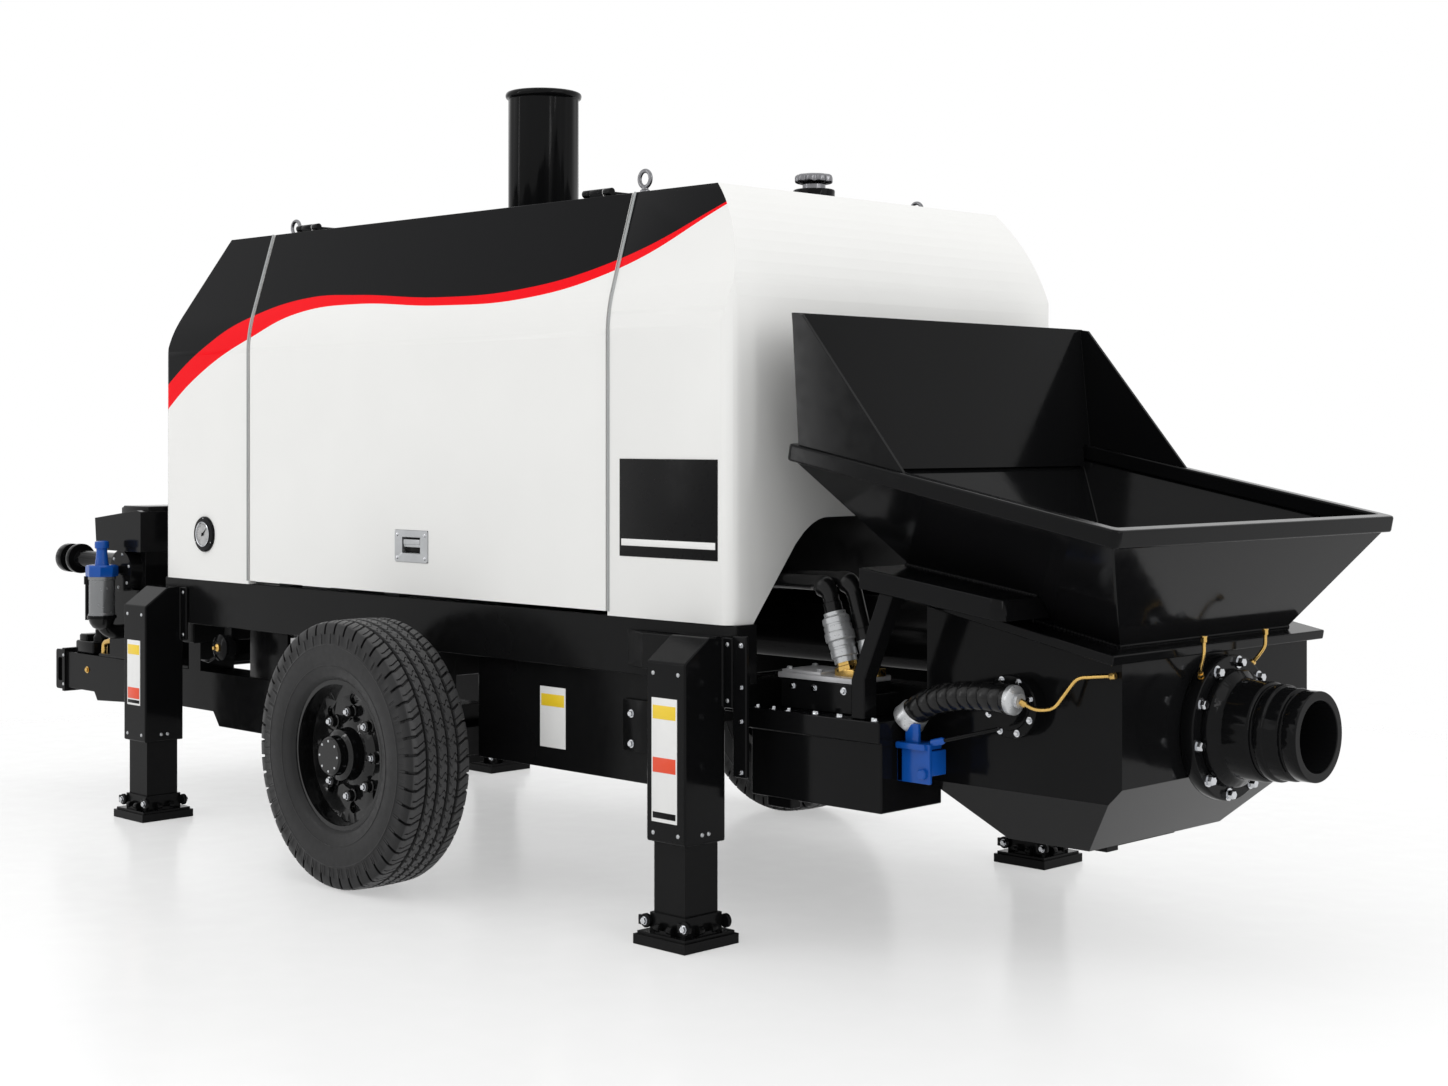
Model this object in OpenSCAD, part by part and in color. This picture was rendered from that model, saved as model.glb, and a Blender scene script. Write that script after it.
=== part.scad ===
// Towed concrete pump: millimetres, +Z up, floor at Z = 0, +X to the hopper and outlet, -Y is the left side

/* [Hood] */
// Hood length along the machine
hood_len = 2890; // [2600:10:3200]
// Hood width at the doors
hood_w = 1430; // [1300:10:1500]
// Height of the hood's lower edge and the rails' top
hood_base_z = 850; // [800:10:900]
// Height of the roof
hood_top_z = 2050; // [1950:10:2250]
// Thickness of a hood panel or door
hood_wall = 30; // [20:1:40]
// Length of the front panel
front_panel_len = 560; // [450:10:650]
// Length of the rear panel
rear_panel_len = 493; // [420:1:600]
// Gap at a panel seam
seam_gap = 8; // [6:1:12]
// Radius of the hood's upright corners
corner_r = 40; // [35:1:60]
// Drop from the roof to where the side wall starts to bend inward
knee_drop = 410; // [300:10:500]
// Bend radius of the side wall
knee_r = 450; // [300:10:600]
// Lean of the side wall above the knee, in degrees
side_lean = 16.7; // [10:0.1:20]
// Drop from the roof to where the front wall starts to bend back
front_drop = 550; // [450:10:650]
// Bend radius of the front wall
front_bend_r = 490; // [400:10:600]
// Lean of the front wall above its bend, in degrees
front_lean = 36; // [25:1:40]
// Drop from the roof to where the rear wall starts to bend forward
rear_drop = 350; // [300:10:400]
// Bend radius of the rear wall
rear_bend_r = 483; // [450:1:600]
// Wall left beside the rear arch at its foot
arch_side = 88; // [70:1:150]
// Half width of the rear arch's flat top
arch_top = 330; // [280:1:400]
// Rise of the rear arch
arch_rise = 280; // [240:10:340]
// Width of the front grille
grille_w = 900; // [700:10:1000]
// Height of the front grille
grille_h = 420; // [300:10:480]
// Slots in the front grille
grille_slots = 10; // [6:1:12]

/* [Hood fittings] */
// Stack diameter
stack_d = 240; // [200:5:260]
// Stack height above the roof
stack_h = 480; // [350:10:520]
// Bore of a lifting eye
eye_bore = 35; // [30:1:40]
// Filler cap diameter
filler_d = 114; // [90:2:130]
// Gauge diameter
gauge_d = 124; // [100:2:140]
// Latch plate width
latch_w = 170; // [120:5:200]
// Latch plate height
latch_h = 100; // [80:5:120]
// Door hinge pin radius
hinge_pin_r = 6; // [5:0.5:8]
// Length of a door's hinge knuckle
hinge_len = 60; // [40:5:90]

/* [Chassis] */
// Inset of the rails from the hood's side
rail_inset = 15; // [10:1:25]
// Rail height
rail_h = 160; // [120:10:180]
// Rail width
rail_w = 80; // [60:5:100]
// Height and width of a cross member
member_sq = 80; // [60:5:90]
// Reach of the tow brackets ahead of the hood
tow_reach = 1030; // [900:10:1400]
// Tow beam width
tow_w = 140; // [120:5:160]
// Tow beam height
tow_h = 140; // [120:5:160]
// Height of the tow beams' lower face
tow_z0 = 365; // [345:5:385]
// Diameter of the tow bracket's pin hole
tow_pin_d = 32; // [25:1:40]
// Axle distance behind the hood's front
axle_back = 1553; // [1400:1:1700]
// Square of the axle beam
axle_sq = 90; // [80:5:100]

/* [Wheels] */
// Tyre diameter
tyre_d = 805; // [760:5:840]
// Tyre width
tyre_w = 220; // [200:5:240]
// Rim seat diameter
rim_d = 450; // [440:5:470]
// Gap from the rails to the tyres
wheel_clear = 140; // [120:5:200]
// Stub axle diameter
stub_d = 64; // [56:1:70]
// Hand holes in a rim
hand_holes = 8; // [6:1:10]

/* [Legs] */
// Square of a leg casing
casing_sq = 150; // [140:5:160]
// Square of a leg's sliding tube
tube_sq = 120; // [110:1:124]
// Square of a foot plate
foot_sq = 200; // [180:5:220]
// Foot plate thickness
foot_t = 35; // [25:1:40]
// Height of a casing's lower end
casing_z0 = 275; // [270:5:300]
// Travel of a leg from the floor up
leg_travel = 180; // [120:5:180]
// Sliding clearance on each side of the tube
slide_gap = 0.5; // [0.3:0.1:0.9]

/* [Hopper] */
// Gap from the hood to the hopper's rim
hopper_gap = 150; // [140:5:180]
// Length of the hopper's rim along the floor
rim_len = 1048; // [980:1:1150]
// Half width of the rim
rim_half = 654; // [620:1:680]
// Rim height at its front
rim_front_z = 1337; // [1300:1:1380]
// Rim height at its rear
rim_rear_z = 1137; // [1110:1:1170]
// Rim bar height
rim_bar_h = 45; // [35:1:55]
// Rim bar width
rim_bar_w = 40; // [30:1:50]
// Plate thickness of the hopper
plate = 12; // [8:1:15]
// Depth of the funnel under the rim's top
funnel_depth = 325; // [300:1:340]
// Half width at the funnel's foot
funnel_half = 390; // [370:1:410]
// Flange thickness
flange_t = 25; // [18:1:30]
// Width of the flange outside the funnel
flange_w = 102; // [60:1:120]
// Rise of the guard above the rim
guard_rise = 343; // [280:1:400]
// Height of the lower box's floor
belly_z = 310; // [300:5:330]
// Height of the outlet's middle
outlet_z = 614; // [605:1:640]
// Bore of the outlet
outlet_bore = 180; // [160:2:184]
// Outside diameter of the outlet's clamp ring
outlet_ring_d = 226; // [216:2:232]
// Length of the outlet behind the lower box
outlet_len = 283; // [240:1:320]
// Outlet flange diameter
outlet_flange_d = 370; // [340:5:370]

/* [Pump] */
// Half spacing of the pump cylinders
port_half = 115; // [112:1:125]
// Height of the pump cylinders' middle
port_z = 800; // [795:1:805]
// Outside diameter of a pump cylinder
cylinder_d = 200; // [180:2:204]
// Outside diameter of the swing tube
swing_d = 190; // [184:1:194]
// Wall of the swing tube
swing_wall = 15; // [10:1:18]
// Bend of the swing tube, in degrees
swing_bend = 60; // [54:1:61]
// Reach of a mixing paddle
paddle_r = 125; // [100:1:128]
// Diameter of a mixing shaft
mixer_d = 50; // [40:1:60]
// Running clearance at a shaft or pin
run_gap = 0.3; // [0.2:0.05:0.5]

/* [Inside the hood] */
// Engine length
engine_len = 793; // [700:1:850]
// Engine width
engine_w = 660; // [560:10:720]
// Engine height
engine_h = 620; // [500:10:700]
// Oil tank length
tank_len = 330; // [250:10:360]
// Oil tank height
tank_h = 520; // [400:10:600]

/* [Hidden] */
$fn = 64;
outlet_reach = hopper_gap + rim_len - 144 + outlet_len;
overall_len = tow_reach + hood_len + outlet_reach;
front_x = -overall_len / 2;
hf = front_x + tow_reach;
hr = hf + hood_len;
outlet_x = -front_x;
seam1 = hf + front_panel_len;
seam2 = hr - rear_panel_len;
half_w = hood_w / 2;
knee_z = hood_top_z - knee_drop;
front_bend_z = hood_top_z - front_drop;
rear_bend_z = hood_top_z - rear_drop;
arch_z = hood_base_z + arch_rise;
roof_half = half_w - knee_r * (1 - cos(side_lean)) - (knee_drop - knee_r * sin(side_lean)) * tan(side_lean);
latch_z = hood_base_z + 162;
filler_x = hr - 290;
filler_y = -75;
eye_places = [[seam1 - 60, roof_half - 125], [seam2 + 32, roof_half - 15]];
latch_deep = 22;
hinge_r = hinge_pin_r + 5;
hinge_y = roof_half - 20;
hinge_z = hood_top_z + hinge_r + 3;
hinge_ends = 30;
rail_half = half_w - rail_inset;
rail_in = rail_half - rail_w;
rail_z0 = hood_base_z - rail_h;
member_z0 = rail_z0 - member_sq;
member_half = rail_in + 20;
axle_x = hf + axle_back;
stack_x = axle_x - 287;
axle_z = tyre_d / 2;
half_track = rail_half + wheel_clear + tyre_w / 2;
skirt_t = 16;
skirt_y = member_half + 4;
tow_out = rail_half - 110;
tow_in = tow_out - tow_w;
tow_z1 = tow_z0 + tow_h;
gusset_back = 600;
ear_len = 70;
ear_t = 25;
deck_t = 12;
deck_z = tow_z1 + deck_t;
deck_len = 655;
unit_back = 560;
unit_x0 = hf - unit_back;
unit_x1 = unit_x0 + 270;
unit_y0 = -rail_half + 80;
unit_w = 470;
unit_y1 = unit_y0 + unit_w;
unit_rise = 373;
unit_z = deck_z + unit_rise;
lid_x0 = unit_x0 - 40;
lid_x1 = unit_x1 + 30;
lid_y0 = unit_y0 - 40;
filter_x = unit_x0 + 124;
filter_y = lid_y0 - 60;
bowl_z0 = unit_z - 209;
bowl_z1 = unit_z - 58;
drum_y = unit_y0 - 30;
pipe_x0 = front_x + 45;
leg_y = rail_half + casing_sq / 2;
leg_fx = hf + 33;
leg_rx = hr - 106;
casing_z1 = hood_base_z - 30;
casing_bevel = 65;
cavity = tube_sq + 2 * slide_gap;
collar_z1 = casing_z0 - leg_travel - 10;
tube_z1 = casing_z1 - 95 - leg_travel;
rim_fx = hr + hopper_gap;
rim_rx = rim_fx + rim_len;
tilt = atan((rim_front_z - rim_rear_z) / rim_len);
rim_slant = rim_len / cos(tilt);
foot_front = -rim_slant + 361;
foot_rear = -121;
flange_d = funnel_depth + flange_t;
box_x0 = rim_fx + 293;
box_x1 = rim_rx - 144;
box_half = funnel_half + 40;
box_fold_z = belly_z + 150;
belly_half = box_half - 130;
guard_half = rim_half - 15;
guard_t = 10;
guard_foot = 390;
ledge_x0 = box_x0 - 70;
ledge_len = 458;
ledge_z1 = rim_front_z - 319;
ledge_fall = 7.5;
ledge_t = 55;
arm_y0 = 270;
arm_y1 = 370;
arm_z0 = rail_z0 - 140;
side_w = 240;
side_y1 = arm_y1 + side_w;
ledge_y0 = side_y1 + 10;
side_z0 = arm_z0 - 160;
side_z1 = arm_z0 + 20;
lid_z1 = side_z1 + 55;
block_x0 = hr + 38;
block_x1 = block_x0 + 270;
block_y0 = -side_y1 + 50;
block_y1 = block_y0 + 140;
block_z1 = lid_z1 + 95;
hose_r = 18;
hose_bend = 60;
ribbed_r = 36;
ribbed_bend = 40;
ribbed_y = box_half + 47 + ribbed_r;
ribbed_z = lid_z1 + 3;
hose_lean = 18;
hose_a = [block_x1 - 70, block_y0 + 60, 225];
hose_b = [block_x1 - 22, block_y0 + 105, 235];
kit_half = 150;
rod_back = 1300;
tank_x1 = hr - 112;
tank_z0 = port_z + 130;
tank_half = rail_half - 60;
swing_offset = sqrt(port_half * port_half + (port_z - outlet_z) * (port_z - outlet_z));
swing_angle = atan(port_half / (port_z - outlet_z));
swing_x0 = box_x0 + plate + slide_gap;
swing_x1 = box_x1 + 20;
flange_x = box_x1 + 40;
mixer_x = box_x0 + 305;
mixer_z = belly_z + 370;
bearing_r = 80;
hub_r = 52;
hub_y = box_half + 130;
flap_x = box_x0 + 153;
flap_z = belly_z - 18;
flap_len = 236;
flap_pin_r = 8;
seam_turn = 0.05;
black = "#1a1b1e";
frame_black = "#17181a";
white = "#d7d8d6";
steel = "#a9adb2";
worn_steel = "#3a3d41";

// Shared helpers
module bar(x0, x1, y0, y1, z0, z1) {
  translate([x0, y0, z0])
    cube([x1 - x0, y1 - y0, z1 - z0]);
}
module rod_x(x0, x1, y, z, r) {
  translate([x0, y, z])
    rotate([0, 90, 0])
      cylinder(r = r, h = x1 - x0);
}
module rod_y(y0, y1, x, z, r) {
  translate([x, y0, z])
    rotate([-90, 0, 0])
      cylinder(r = r, h = y1 - y0);
}
module rod_z(z0, z1, x, y, r) {
  translate([x, y, z0])
    cylinder(r = r, h = z1 - z0);
}
module pair() {
  children();
  mirror([0, 1, 0])
    children();
}
module tilted() {
  translate([rim_rx, 0, rim_rear_z])
    rotate([0, tilt, 0])
      children();
}
function tilt_z(x, d) = rim_rear_z + (rim_rx - x) * tan(tilt) - d / cos(tilt);

// An S-shaped pipe along +X, from height off down to 0, with its profile as the child
module s_pipe(len, lead, off, bend) {
  r = off / (2 * (1 - cos(bend)));
  x2 = lead + 2 * r * sin(bend);
  translate([0, 0, off])
    rotate([0, 90, 0])
      linear_extrude(height = lead)
        children();
  translate([lead, 0, off - r])
    rotate([90, 0, 0])
      rotate([0, 0, 90 - bend + seam_turn])
        rotate_extrude(angle = bend - 2 * seam_turn)
          translate([r, 0])
            children();
  translate([x2, 0, r])
    rotate([90, 0, 0])
      rotate([0, 0, 270 - bend + seam_turn])
        rotate_extrude(angle = bend - 2 * seam_turn)
          translate([r, 0])
            children();
  translate([x2, 0, 0])
    rotate([0, 90, 0])
      linear_extrude(height = len - x2)
        children();
}

// Hood outlines, moved inward by i
function side_line(i) = concat(
  [[half_w - i, hood_base_z - 2 * i]],
  [for (s = [0 : 8]) let (a = side_lean * s / 8)
    [half_w - knee_r + (knee_r - i) * cos(a), knee_z + (knee_r - i) * sin(a)]],
  [let (y = half_w - knee_r + (knee_r - i) * cos(side_lean), z = knee_z + (knee_r - i) * sin(side_lean))
    [y - (hood_top_z - i - z) * tan(side_lean), hood_top_z - i]]);
function front_line(i) = concat(
  [[hf + i, hood_base_z - 2 * i]],
  [for (s = [0 : 10]) let (a = front_lean * s / 10)
    [hf + front_bend_r - (front_bend_r - i) * cos(a), front_bend_z + (front_bend_r - i) * sin(a)]],
  [let (x = hf + front_bend_r - (front_bend_r - i) * cos(front_lean),
        z = front_bend_z + (front_bend_r - i) * sin(front_lean))
    [x + (hood_top_z - i - z) * tan(front_lean), hood_top_z - i]]);
function rear_line(i) = let (e = asin((rear_drop - i) / (rear_bend_r - i))) concat(
  [[hr - i, hood_base_z - 2 * i]],
  [for (s = [0 : 12]) let (a = e * s / 12)
    [hr - rear_bend_r + (rear_bend_r - i) * cos(a), rear_bend_z + (rear_bend_r - i) * sin(a)]]);
function turned(p) = [for (k = [len(p) - 1 : -1 : 0]) p[k]];
function flipped(p) = [for (k = [len(p) - 1 : -1 : 0]) [-p[k][0], p[k][1]]];
module hood_blank(i) {
  intersection() {
    translate([0, half_w + 50, 0])
      rotate([90, 0, 0])
        linear_extrude(height = hood_w + 100)
          polygon(concat(front_line(i), turned(rear_line(i))));
    translate([hf - 50, 0, 0])
      rotate([90, 0, 90])
        linear_extrude(height = hood_len + 100)
          polygon(concat(side_line(i), flipped(side_line(i))));
    union() {
      bar(hf + corner_r, hr - corner_r, -half_w, half_w, hood_base_z - 100, hood_top_z);
      bar(hf, hr, -half_w + corner_r, half_w - corner_r, hood_base_z - 100, hood_top_z);
      for (x = [hf + corner_r, hr - corner_r])
        pair()
          rod_z(hood_base_z - 100, hood_top_z, x, -half_w + corner_r, corner_r - i);
    }
  }
}
module hood_shell() {
  difference() {
    hood_blank(0);
    hood_blank(hood_wall);
  }
}

// Frame
module rail(s) {
  mirror([0, s, 0]) {
    bar(hf - 15, hr + 10, -rail_half, -rail_in, rail_z0, hood_base_z);
    translate([leg_rx - casing_sq / 2 - run_gap, -rail_half, rail_z0 + 25])
      linear_extrude(height = rail_h - 60)
        polygon([[-250, 5], [-130, -45], [0, -45], [0, 5]]);
  }
}
module rail_left() {
  color(frame_black) rail(0);
}
module rail_right() {
  color(frame_black) rail(1);
}
module cross_members() {
  color(frame_black)
    for (x = [hf + member_sq / 2, hf + axle_back / 2, axle_x, (axle_x + leg_rx) / 2, leg_rx])
      bar(x - member_sq / 2, x + member_sq / 2, -member_half, member_half, member_z0, rail_z0);
}
module hopper_arms() {
  color(frame_black)
    pair()
      bar(leg_rx + member_sq / 2, box_x0, -arm_y1, -arm_y0, arm_z0, rail_z0);
}
module skirts() {
  x0 = axle_x + 193;
  x1 = leg_rx - casing_sq / 2 - 15;
  z0 = casing_z0 + 105;
  color(frame_black)
    pair() {
      translate([0, -skirt_y, 0])
        rotate([90, 0, 0])
          linear_extrude(height = skirt_t)
            polygon([[x0, z0], [x1 - 90, z0], [x1, z0 + 70], [x1, rail_z0], [x0, rail_z0]]);
      bar(x0, x1 - 90, -skirt_y - 1, -skirt_y + 70, z0, z0 + skirt_t);
      bar(x1 - 130, x1 - 90, -skirt_y - skirt_t - 14, -skirt_y - skirt_t + 1, rail_z0 - 170, rail_z0 - 40);
    }
}
module axle() {
  color("#202124") {
    translate([axle_x, 0, axle_z])
      cube([axle_sq, 2 * rail_half, axle_sq], center = true);
    pair() {
      rod_y(-half_track - 20, -rail_half + 5, axle_x, axle_z, stub_d / 2);
      rod_y(-rail_half - 40, -rail_half + 5, axle_x, axle_z, stub_d / 2 + 22);
      bar(axle_x - 60, axle_x + 60, -rail_half, -member_half, axle_z, rail_z0);
    }
  }
}
module tow(s) {
  mirror([0, s, 0])
    difference() {
      union() {
        bar(front_x + ear_len, axle_x - axle_sq / 2, -tow_out, -tow_in, tow_z0, tow_z1);
        translate([0, -tow_in, 0])
          rotate([90, 0, 0])
            linear_extrude(height = tow_w)
              polygon([[hf + 125, tow_z0 + 1], [hf + 165, tow_z0 - 50], [axle_x - axle_sq / 2, tow_z0 - 50],
                [axle_x - axle_sq / 2, tow_z0 + 1]]);
        translate([hf - gusset_back, -tow_in, 0])
          rotate([90, 0, 0])
            linear_extrude(height = tow_w)
              polygon([[-135, tow_z0 + 1], [-110, tow_z0 - 32], [110, tow_z0 - 20], [135, tow_z0 + 1]]);
        bar(hf - 40, hf + 40, -tow_out, -tow_in, tow_z1 - 1, member_z0);
        translate([front_x + ear_len, 0, 0])
          bar(-10, 10, -tow_out - 10, -tow_in + 10, tow_z0 - 15, tow_z1 + 15);
        for (y = [-tow_out + 10, -tow_in - 10 - ear_t])
          bar(front_x, front_x + ear_len, y, y + ear_t, tow_z0 - 5, tow_z1 + 5);
      }
      rod_y(-tow_out, -tow_in, front_x + ear_len / 2, (tow_z0 + tow_z1) / 2, tow_pin_d / 2);
    }
}
module tow_left() {
  color(frame_black) tow(0);
}
module tow_right() {
  color(frame_black) tow(1);
}
module brake_valve() {
  x = hf + 370;
  color(frame_black) {
    bar(x - 22, x + 22, -rail_half + 20, -rail_half + 50, rail_z0 - 95, rail_z0);
    rod_y(-rail_half - 15, -rail_half + 30, x, rail_z0 - 70, 42);
  }
}

// Front gear on the tow beams
module front_deck() {
  color("#1c1d1f")
    bar(hf - 45 - deck_len, hf - 45, -tow_out, tow_out, tow_z1, deck_z);
}
module front_unit() {
  drum_x = (unit_x0 + unit_x1) / 2;
  color(black)
    union() {
      bar(unit_x0, unit_x1, unit_y0, unit_y1, deck_z, unit_z - 110);
      bar(unit_x0 + 40, unit_x1 - 40, unit_y0 + 20, unit_y1 - 20, unit_z - 115, unit_z + 40);
      rod_y(drum_y, unit_y1 + 10, drum_x, unit_z - 40, 78);
      translate([0, unit_y1 + 30, 0])
        rotate([90, 0, 0])
          linear_extrude(height = unit_y1 + 30 - lid_y0)
            polygon([[lid_x0 + 12, unit_z + 35], [lid_x1, unit_z + 35], [lid_x1, unit_z + 185],
              [lid_x1 - 30, unit_z + 190], [lid_x0, unit_z + 155]]);
      translate([0, unit_y0 + 55, unit_z - 15]) {
        rod_x(pipe_x0, unit_x0 + 45, 0, 0, 32);
        rod_x(pipe_x0, pipe_x0 + 40, 0, 0, 56);
        rod_x(pipe_x0 + 85, pipe_x0 + 110, 0, 0, 58);
      }
    }
}

// Legs
module casing() {
  h = casing_sq / 2;
  difference() {
    union() {
      bar(-h, h, -h, h, casing_z0, casing_z1 - casing_bevel);
      translate([-h, 0, 0])
        rotate([90, 0, 90])
          linear_extrude(height = casing_sq)
            polygon([[-h, casing_z1 - casing_bevel - 1], [h, casing_z1 - casing_bevel - 1], [h, casing_z1],
              [-h + 90, casing_z1], [-h, casing_z1 - casing_bevel]]);
      bar(h - 1, h + 38, h - 12, h, casing_z1 - 190, casing_z1);
    }
    bar(-cavity / 2, cavity / 2, -cavity / 2, cavity / 2, casing_z0 - 1, casing_z1 - 75);
  }
}
module leg_casings() {
  color(black)
    pair()
      for (x = [leg_fx, leg_rx])
        translate([x, -leg_y, 0])
          casing();
}
module leg(x, s) {
  t = tube_sq / 2;
  f = foot_sq / 2;
  mirror([0, s, 0])
    translate([x, -leg_y, 0])
      union() {
        bar(-f, f, -f, f, 0, foot_t - 8);
        bar(-f + 8, f - 8, -f + 8, f - 8, foot_t - 9, foot_t);
        bar(-t, t, -t, t, foot_t - 1, tube_z1);
        bar(-t - 8, t + 8, -t - 8, t + 8, foot_t - 1, collar_z1);
        for (a = [0 : 90 : 270])
          rotate([0, 0, a]) {
            bar(t + 7, t + 24, -30, 30, foot_t - 1, foot_t + 10);
            for (y = [-24, 24])
              rod_y(y - 9, y + 9, t + 18, foot_t + 14, 11);
          }
      }
}
module leg_front_left() {
  color(frame_black) leg(leg_fx, 0);
}
module leg_front_right() {
  color(frame_black) leg(leg_fx, 1);
}
module leg_rear_left() {
  color(frame_black) leg(leg_rx, 0);
}
module leg_rear_right() {
  color(frame_black) leg(leg_rx, 1);
}

// Hood
module grille_blank(x0, x1) {
  bar(x0, x1, -grille_w / 2, grille_w / 2, hood_base_z + 100, hood_base_z + 100 + grille_h);
}
module hood_front() {
  color(white)
    difference() {
      intersection() {
        hood_shell();
        bar(hf - 10, seam1 - seam_gap / 2, -half_w, half_w, hood_base_z, hood_top_z);
      }
      grille_blank(hf - 20, hf + hood_wall + 20);
    }
}
module front_grille() {
  pitch = (grille_h - 30) / grille_slots;
  color(frame_black)
    difference() {
      grille_blank(hf + 5, hf + hood_wall - 5);
      for (k = [0 : grille_slots - 1])
        bar(hf, hf + hood_wall, -grille_w / 2 + 25, grille_w / 2 - 25,
          hood_base_z + 120 + pitch * k, hood_base_z + 120 + pitch * (k + 0.65));
    }
}
function arch_x(a) = arch_top + 130 * (1 - sin(a));
function arch_h(a) = arch_z - 70 * pow(1 - sin(a), 2);
module hood_rear() {
  color(white)
    difference() {
      intersection() {
        hood_shell();
        bar(seam2 + seam_gap / 2, hr + 10, -half_w, half_w, hood_base_z, hood_top_z);
      }
      translate([hr - hood_wall - 60, 0, 0])
        rotate([90, 0, 90])
          linear_extrude(height = hood_wall + 80)
            polygon(concat([[-half_w + arch_side, hood_base_z - 1]],
              [for (a = [0 : 15 : 90]) [-arch_x(a), arch_h(a)]],
              [for (a = [90 : -15 : 0]) [arch_x(a), arch_h(a)]],
              [[half_w - arch_side, hood_base_z - 1]]));
    }
}
module hood_roof() {
  color(white)
    bar(seam1 - seam_gap / 2, seam2 + seam_gap / 2, -roof_half + 45, roof_half - 45,
      hood_top_z - hood_wall, hood_top_z);
}
module hinge_places() {
  for (x = [seam1 + 175, seam2 - 175])
    translate([x, 0, 0])
      children();
}
module door_hinges() {
  color(black)
    pair()
      hinge_places() {
        rod_x(-hinge_len / 2 - hinge_ends, hinge_len / 2 + hinge_ends, -hinge_y, hinge_z, hinge_pin_r);
        for (e = [-hinge_len / 2 - 1 - hinge_ends, hinge_len / 2 + 1]) {
          rod_x(e, e + hinge_ends, -hinge_y, hinge_z, hinge_r);
          bar(e, e + hinge_ends, -hinge_y, -hinge_y + 75, hinge_z - 8, hinge_z);
          bar(e, e + hinge_ends, -hinge_y + 30, -hinge_y + 75, hood_top_z, hinge_z);
        }
      }
}
module door(s) {
  mirror([0, s, 0])
    difference() {
      union() {
        intersection() {
          hood_shell();
          bar(seam1 + seam_gap / 2, seam2 - seam_gap / 2, -half_w, -roof_half + 40,
            hood_base_z + 12, hood_top_z);
        }
        hinge_places() {
          rod_x(-hinge_len / 2, hinge_len / 2, -hinge_y, hinge_z, hinge_r);
          bar(-hinge_len / 2, hinge_len / 2, -hinge_y - 8, -hinge_y + 8, hood_top_z - 5, hinge_z);
        }
      }
      hinge_places()
        rod_x(-hinge_len / 2 - 1, hinge_len / 2 + 1, -hinge_y, hinge_z, hinge_pin_r + run_gap);
      latch_plate(0, -10, latch_deep);
    }
}
module latch_plate(m, y0, y1) {
  translate([axle_x - 70, -half_w, latch_z])
    bar(-latch_w / 2 + m, latch_w / 2 - m, y0, y1, -latch_h / 2 + m, latch_h / 2 - m);
}
module door_left() {
  color(white) door(0);
}
module door_right() {
  color(white) door(1);
}
module latch(s) {
  mirror([0, s, 0]) {
    difference() {
      latch_plate(0, -3, latch_deep);
      latch_plate(12, -4, latch_deep - 6);
    }
    translate([0, 0, -8])
      latch_plate(22, 1, latch_deep - 5);
  }
}
module latch_left() {
  color(steel) latch(0);
}
module latch_right() {
  color(steel) latch(1);
}
module gauge() {
  color(steel)
    translate([hf + front_panel_len / 2, -half_w, latch_z])
      rotate([90, 0, 0])
        rotate_extrude()
          polygon([[0, 0], [gauge_d / 2, 0], [gauge_d / 2, 6], [gauge_d / 2 - 5, 18], [gauge_d / 2 - 12, 18],
            [gauge_d / 2 - 14, 10], [0, 10]]);
}
module stack() {
  r = stack_d / 2;
  color(black) {
    translate([stack_x, 0, hood_top_z])
      rotate_extrude()
        polygon([[0, 0], [r, 0], [r, stack_h - 25], [r + 8, stack_h - 22], [r + 10, stack_h - 12],
          [r + 8, stack_h - 3], [r, stack_h], [r - 12, stack_h], [r - 12, 40], [0, 40]]);
    rod_z(hood_top_z, hood_top_z + 35, filler_x, filler_y, filler_d / 2 + 5);
  }
}
module lifting_eyes() {
  color(steel)
    pair()
      for (p = eye_places)
        translate([p[0], -p[1], hood_top_z]) {
          cylinder(r = 14, h = 12);
          difference() {
            rod_y(-9, 9, 0, eye_bore / 2 + 20, eye_bore / 2 + 11);
            rod_y(-10, 10, 0, eye_bore / 2 + 20, eye_bore / 2);
          }
        }
}
module filler_cap() {
  r = filler_d / 2;
  color(steel)
    translate([filler_x, filler_y, hood_top_z + 35])
      rotate_extrude()
        polygon([[0, 0], [r, 0], [r, 30], [r - 5, 36], [r - 16, 38], [r - 20, 45], [0, 47]]);
}

// Under the hood
module engine() {
  z0 = port_z + 70;
  x1 = axle_x - 160;
  color("#4b5055")
    union() {
      bar(x1 - engine_len, x1, -engine_w / 2, engine_w / 2, z0 + 59, z0 + 60 + engine_h);
      for (x = [x1 - engine_len + 100, x1 - 90]) {
        bar(x - 40, x + 40, -rail_half + 40, rail_half - 40, z0, z0 + 60);
        pair()
          bar(x - 40, x + 40, -rail_half + 40, -rail_in, hood_base_z, z0 + 1);
      }
    }
}
module oil_tank() {
  color("#24262a")
    union() {
      bar(tank_x1 - tank_len, tank_x1, -tank_half, tank_half, tank_z0, tank_z0 + tank_h);
      pair()
        bar(tank_x1 - tank_len, tank_x1, -tank_half, -tank_half + 30, hood_base_z, tank_z0 + 1);
    }
}
module pump_kit() {
  color("#24262a")
    union() {
      bar(axle_x - kit_half, axle_x + kit_half, -2 * kit_half, 2 * kit_half, rail_z0, port_z + kit_half);
      pair() {
        rod_x(axle_x + kit_half - 1, box_x0, -port_half, port_z, cylinder_d / 2);
        rod_x(axle_x - rod_back, axle_x - kit_half + 1, -port_half, port_z, 60);
      }
    }
}

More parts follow.
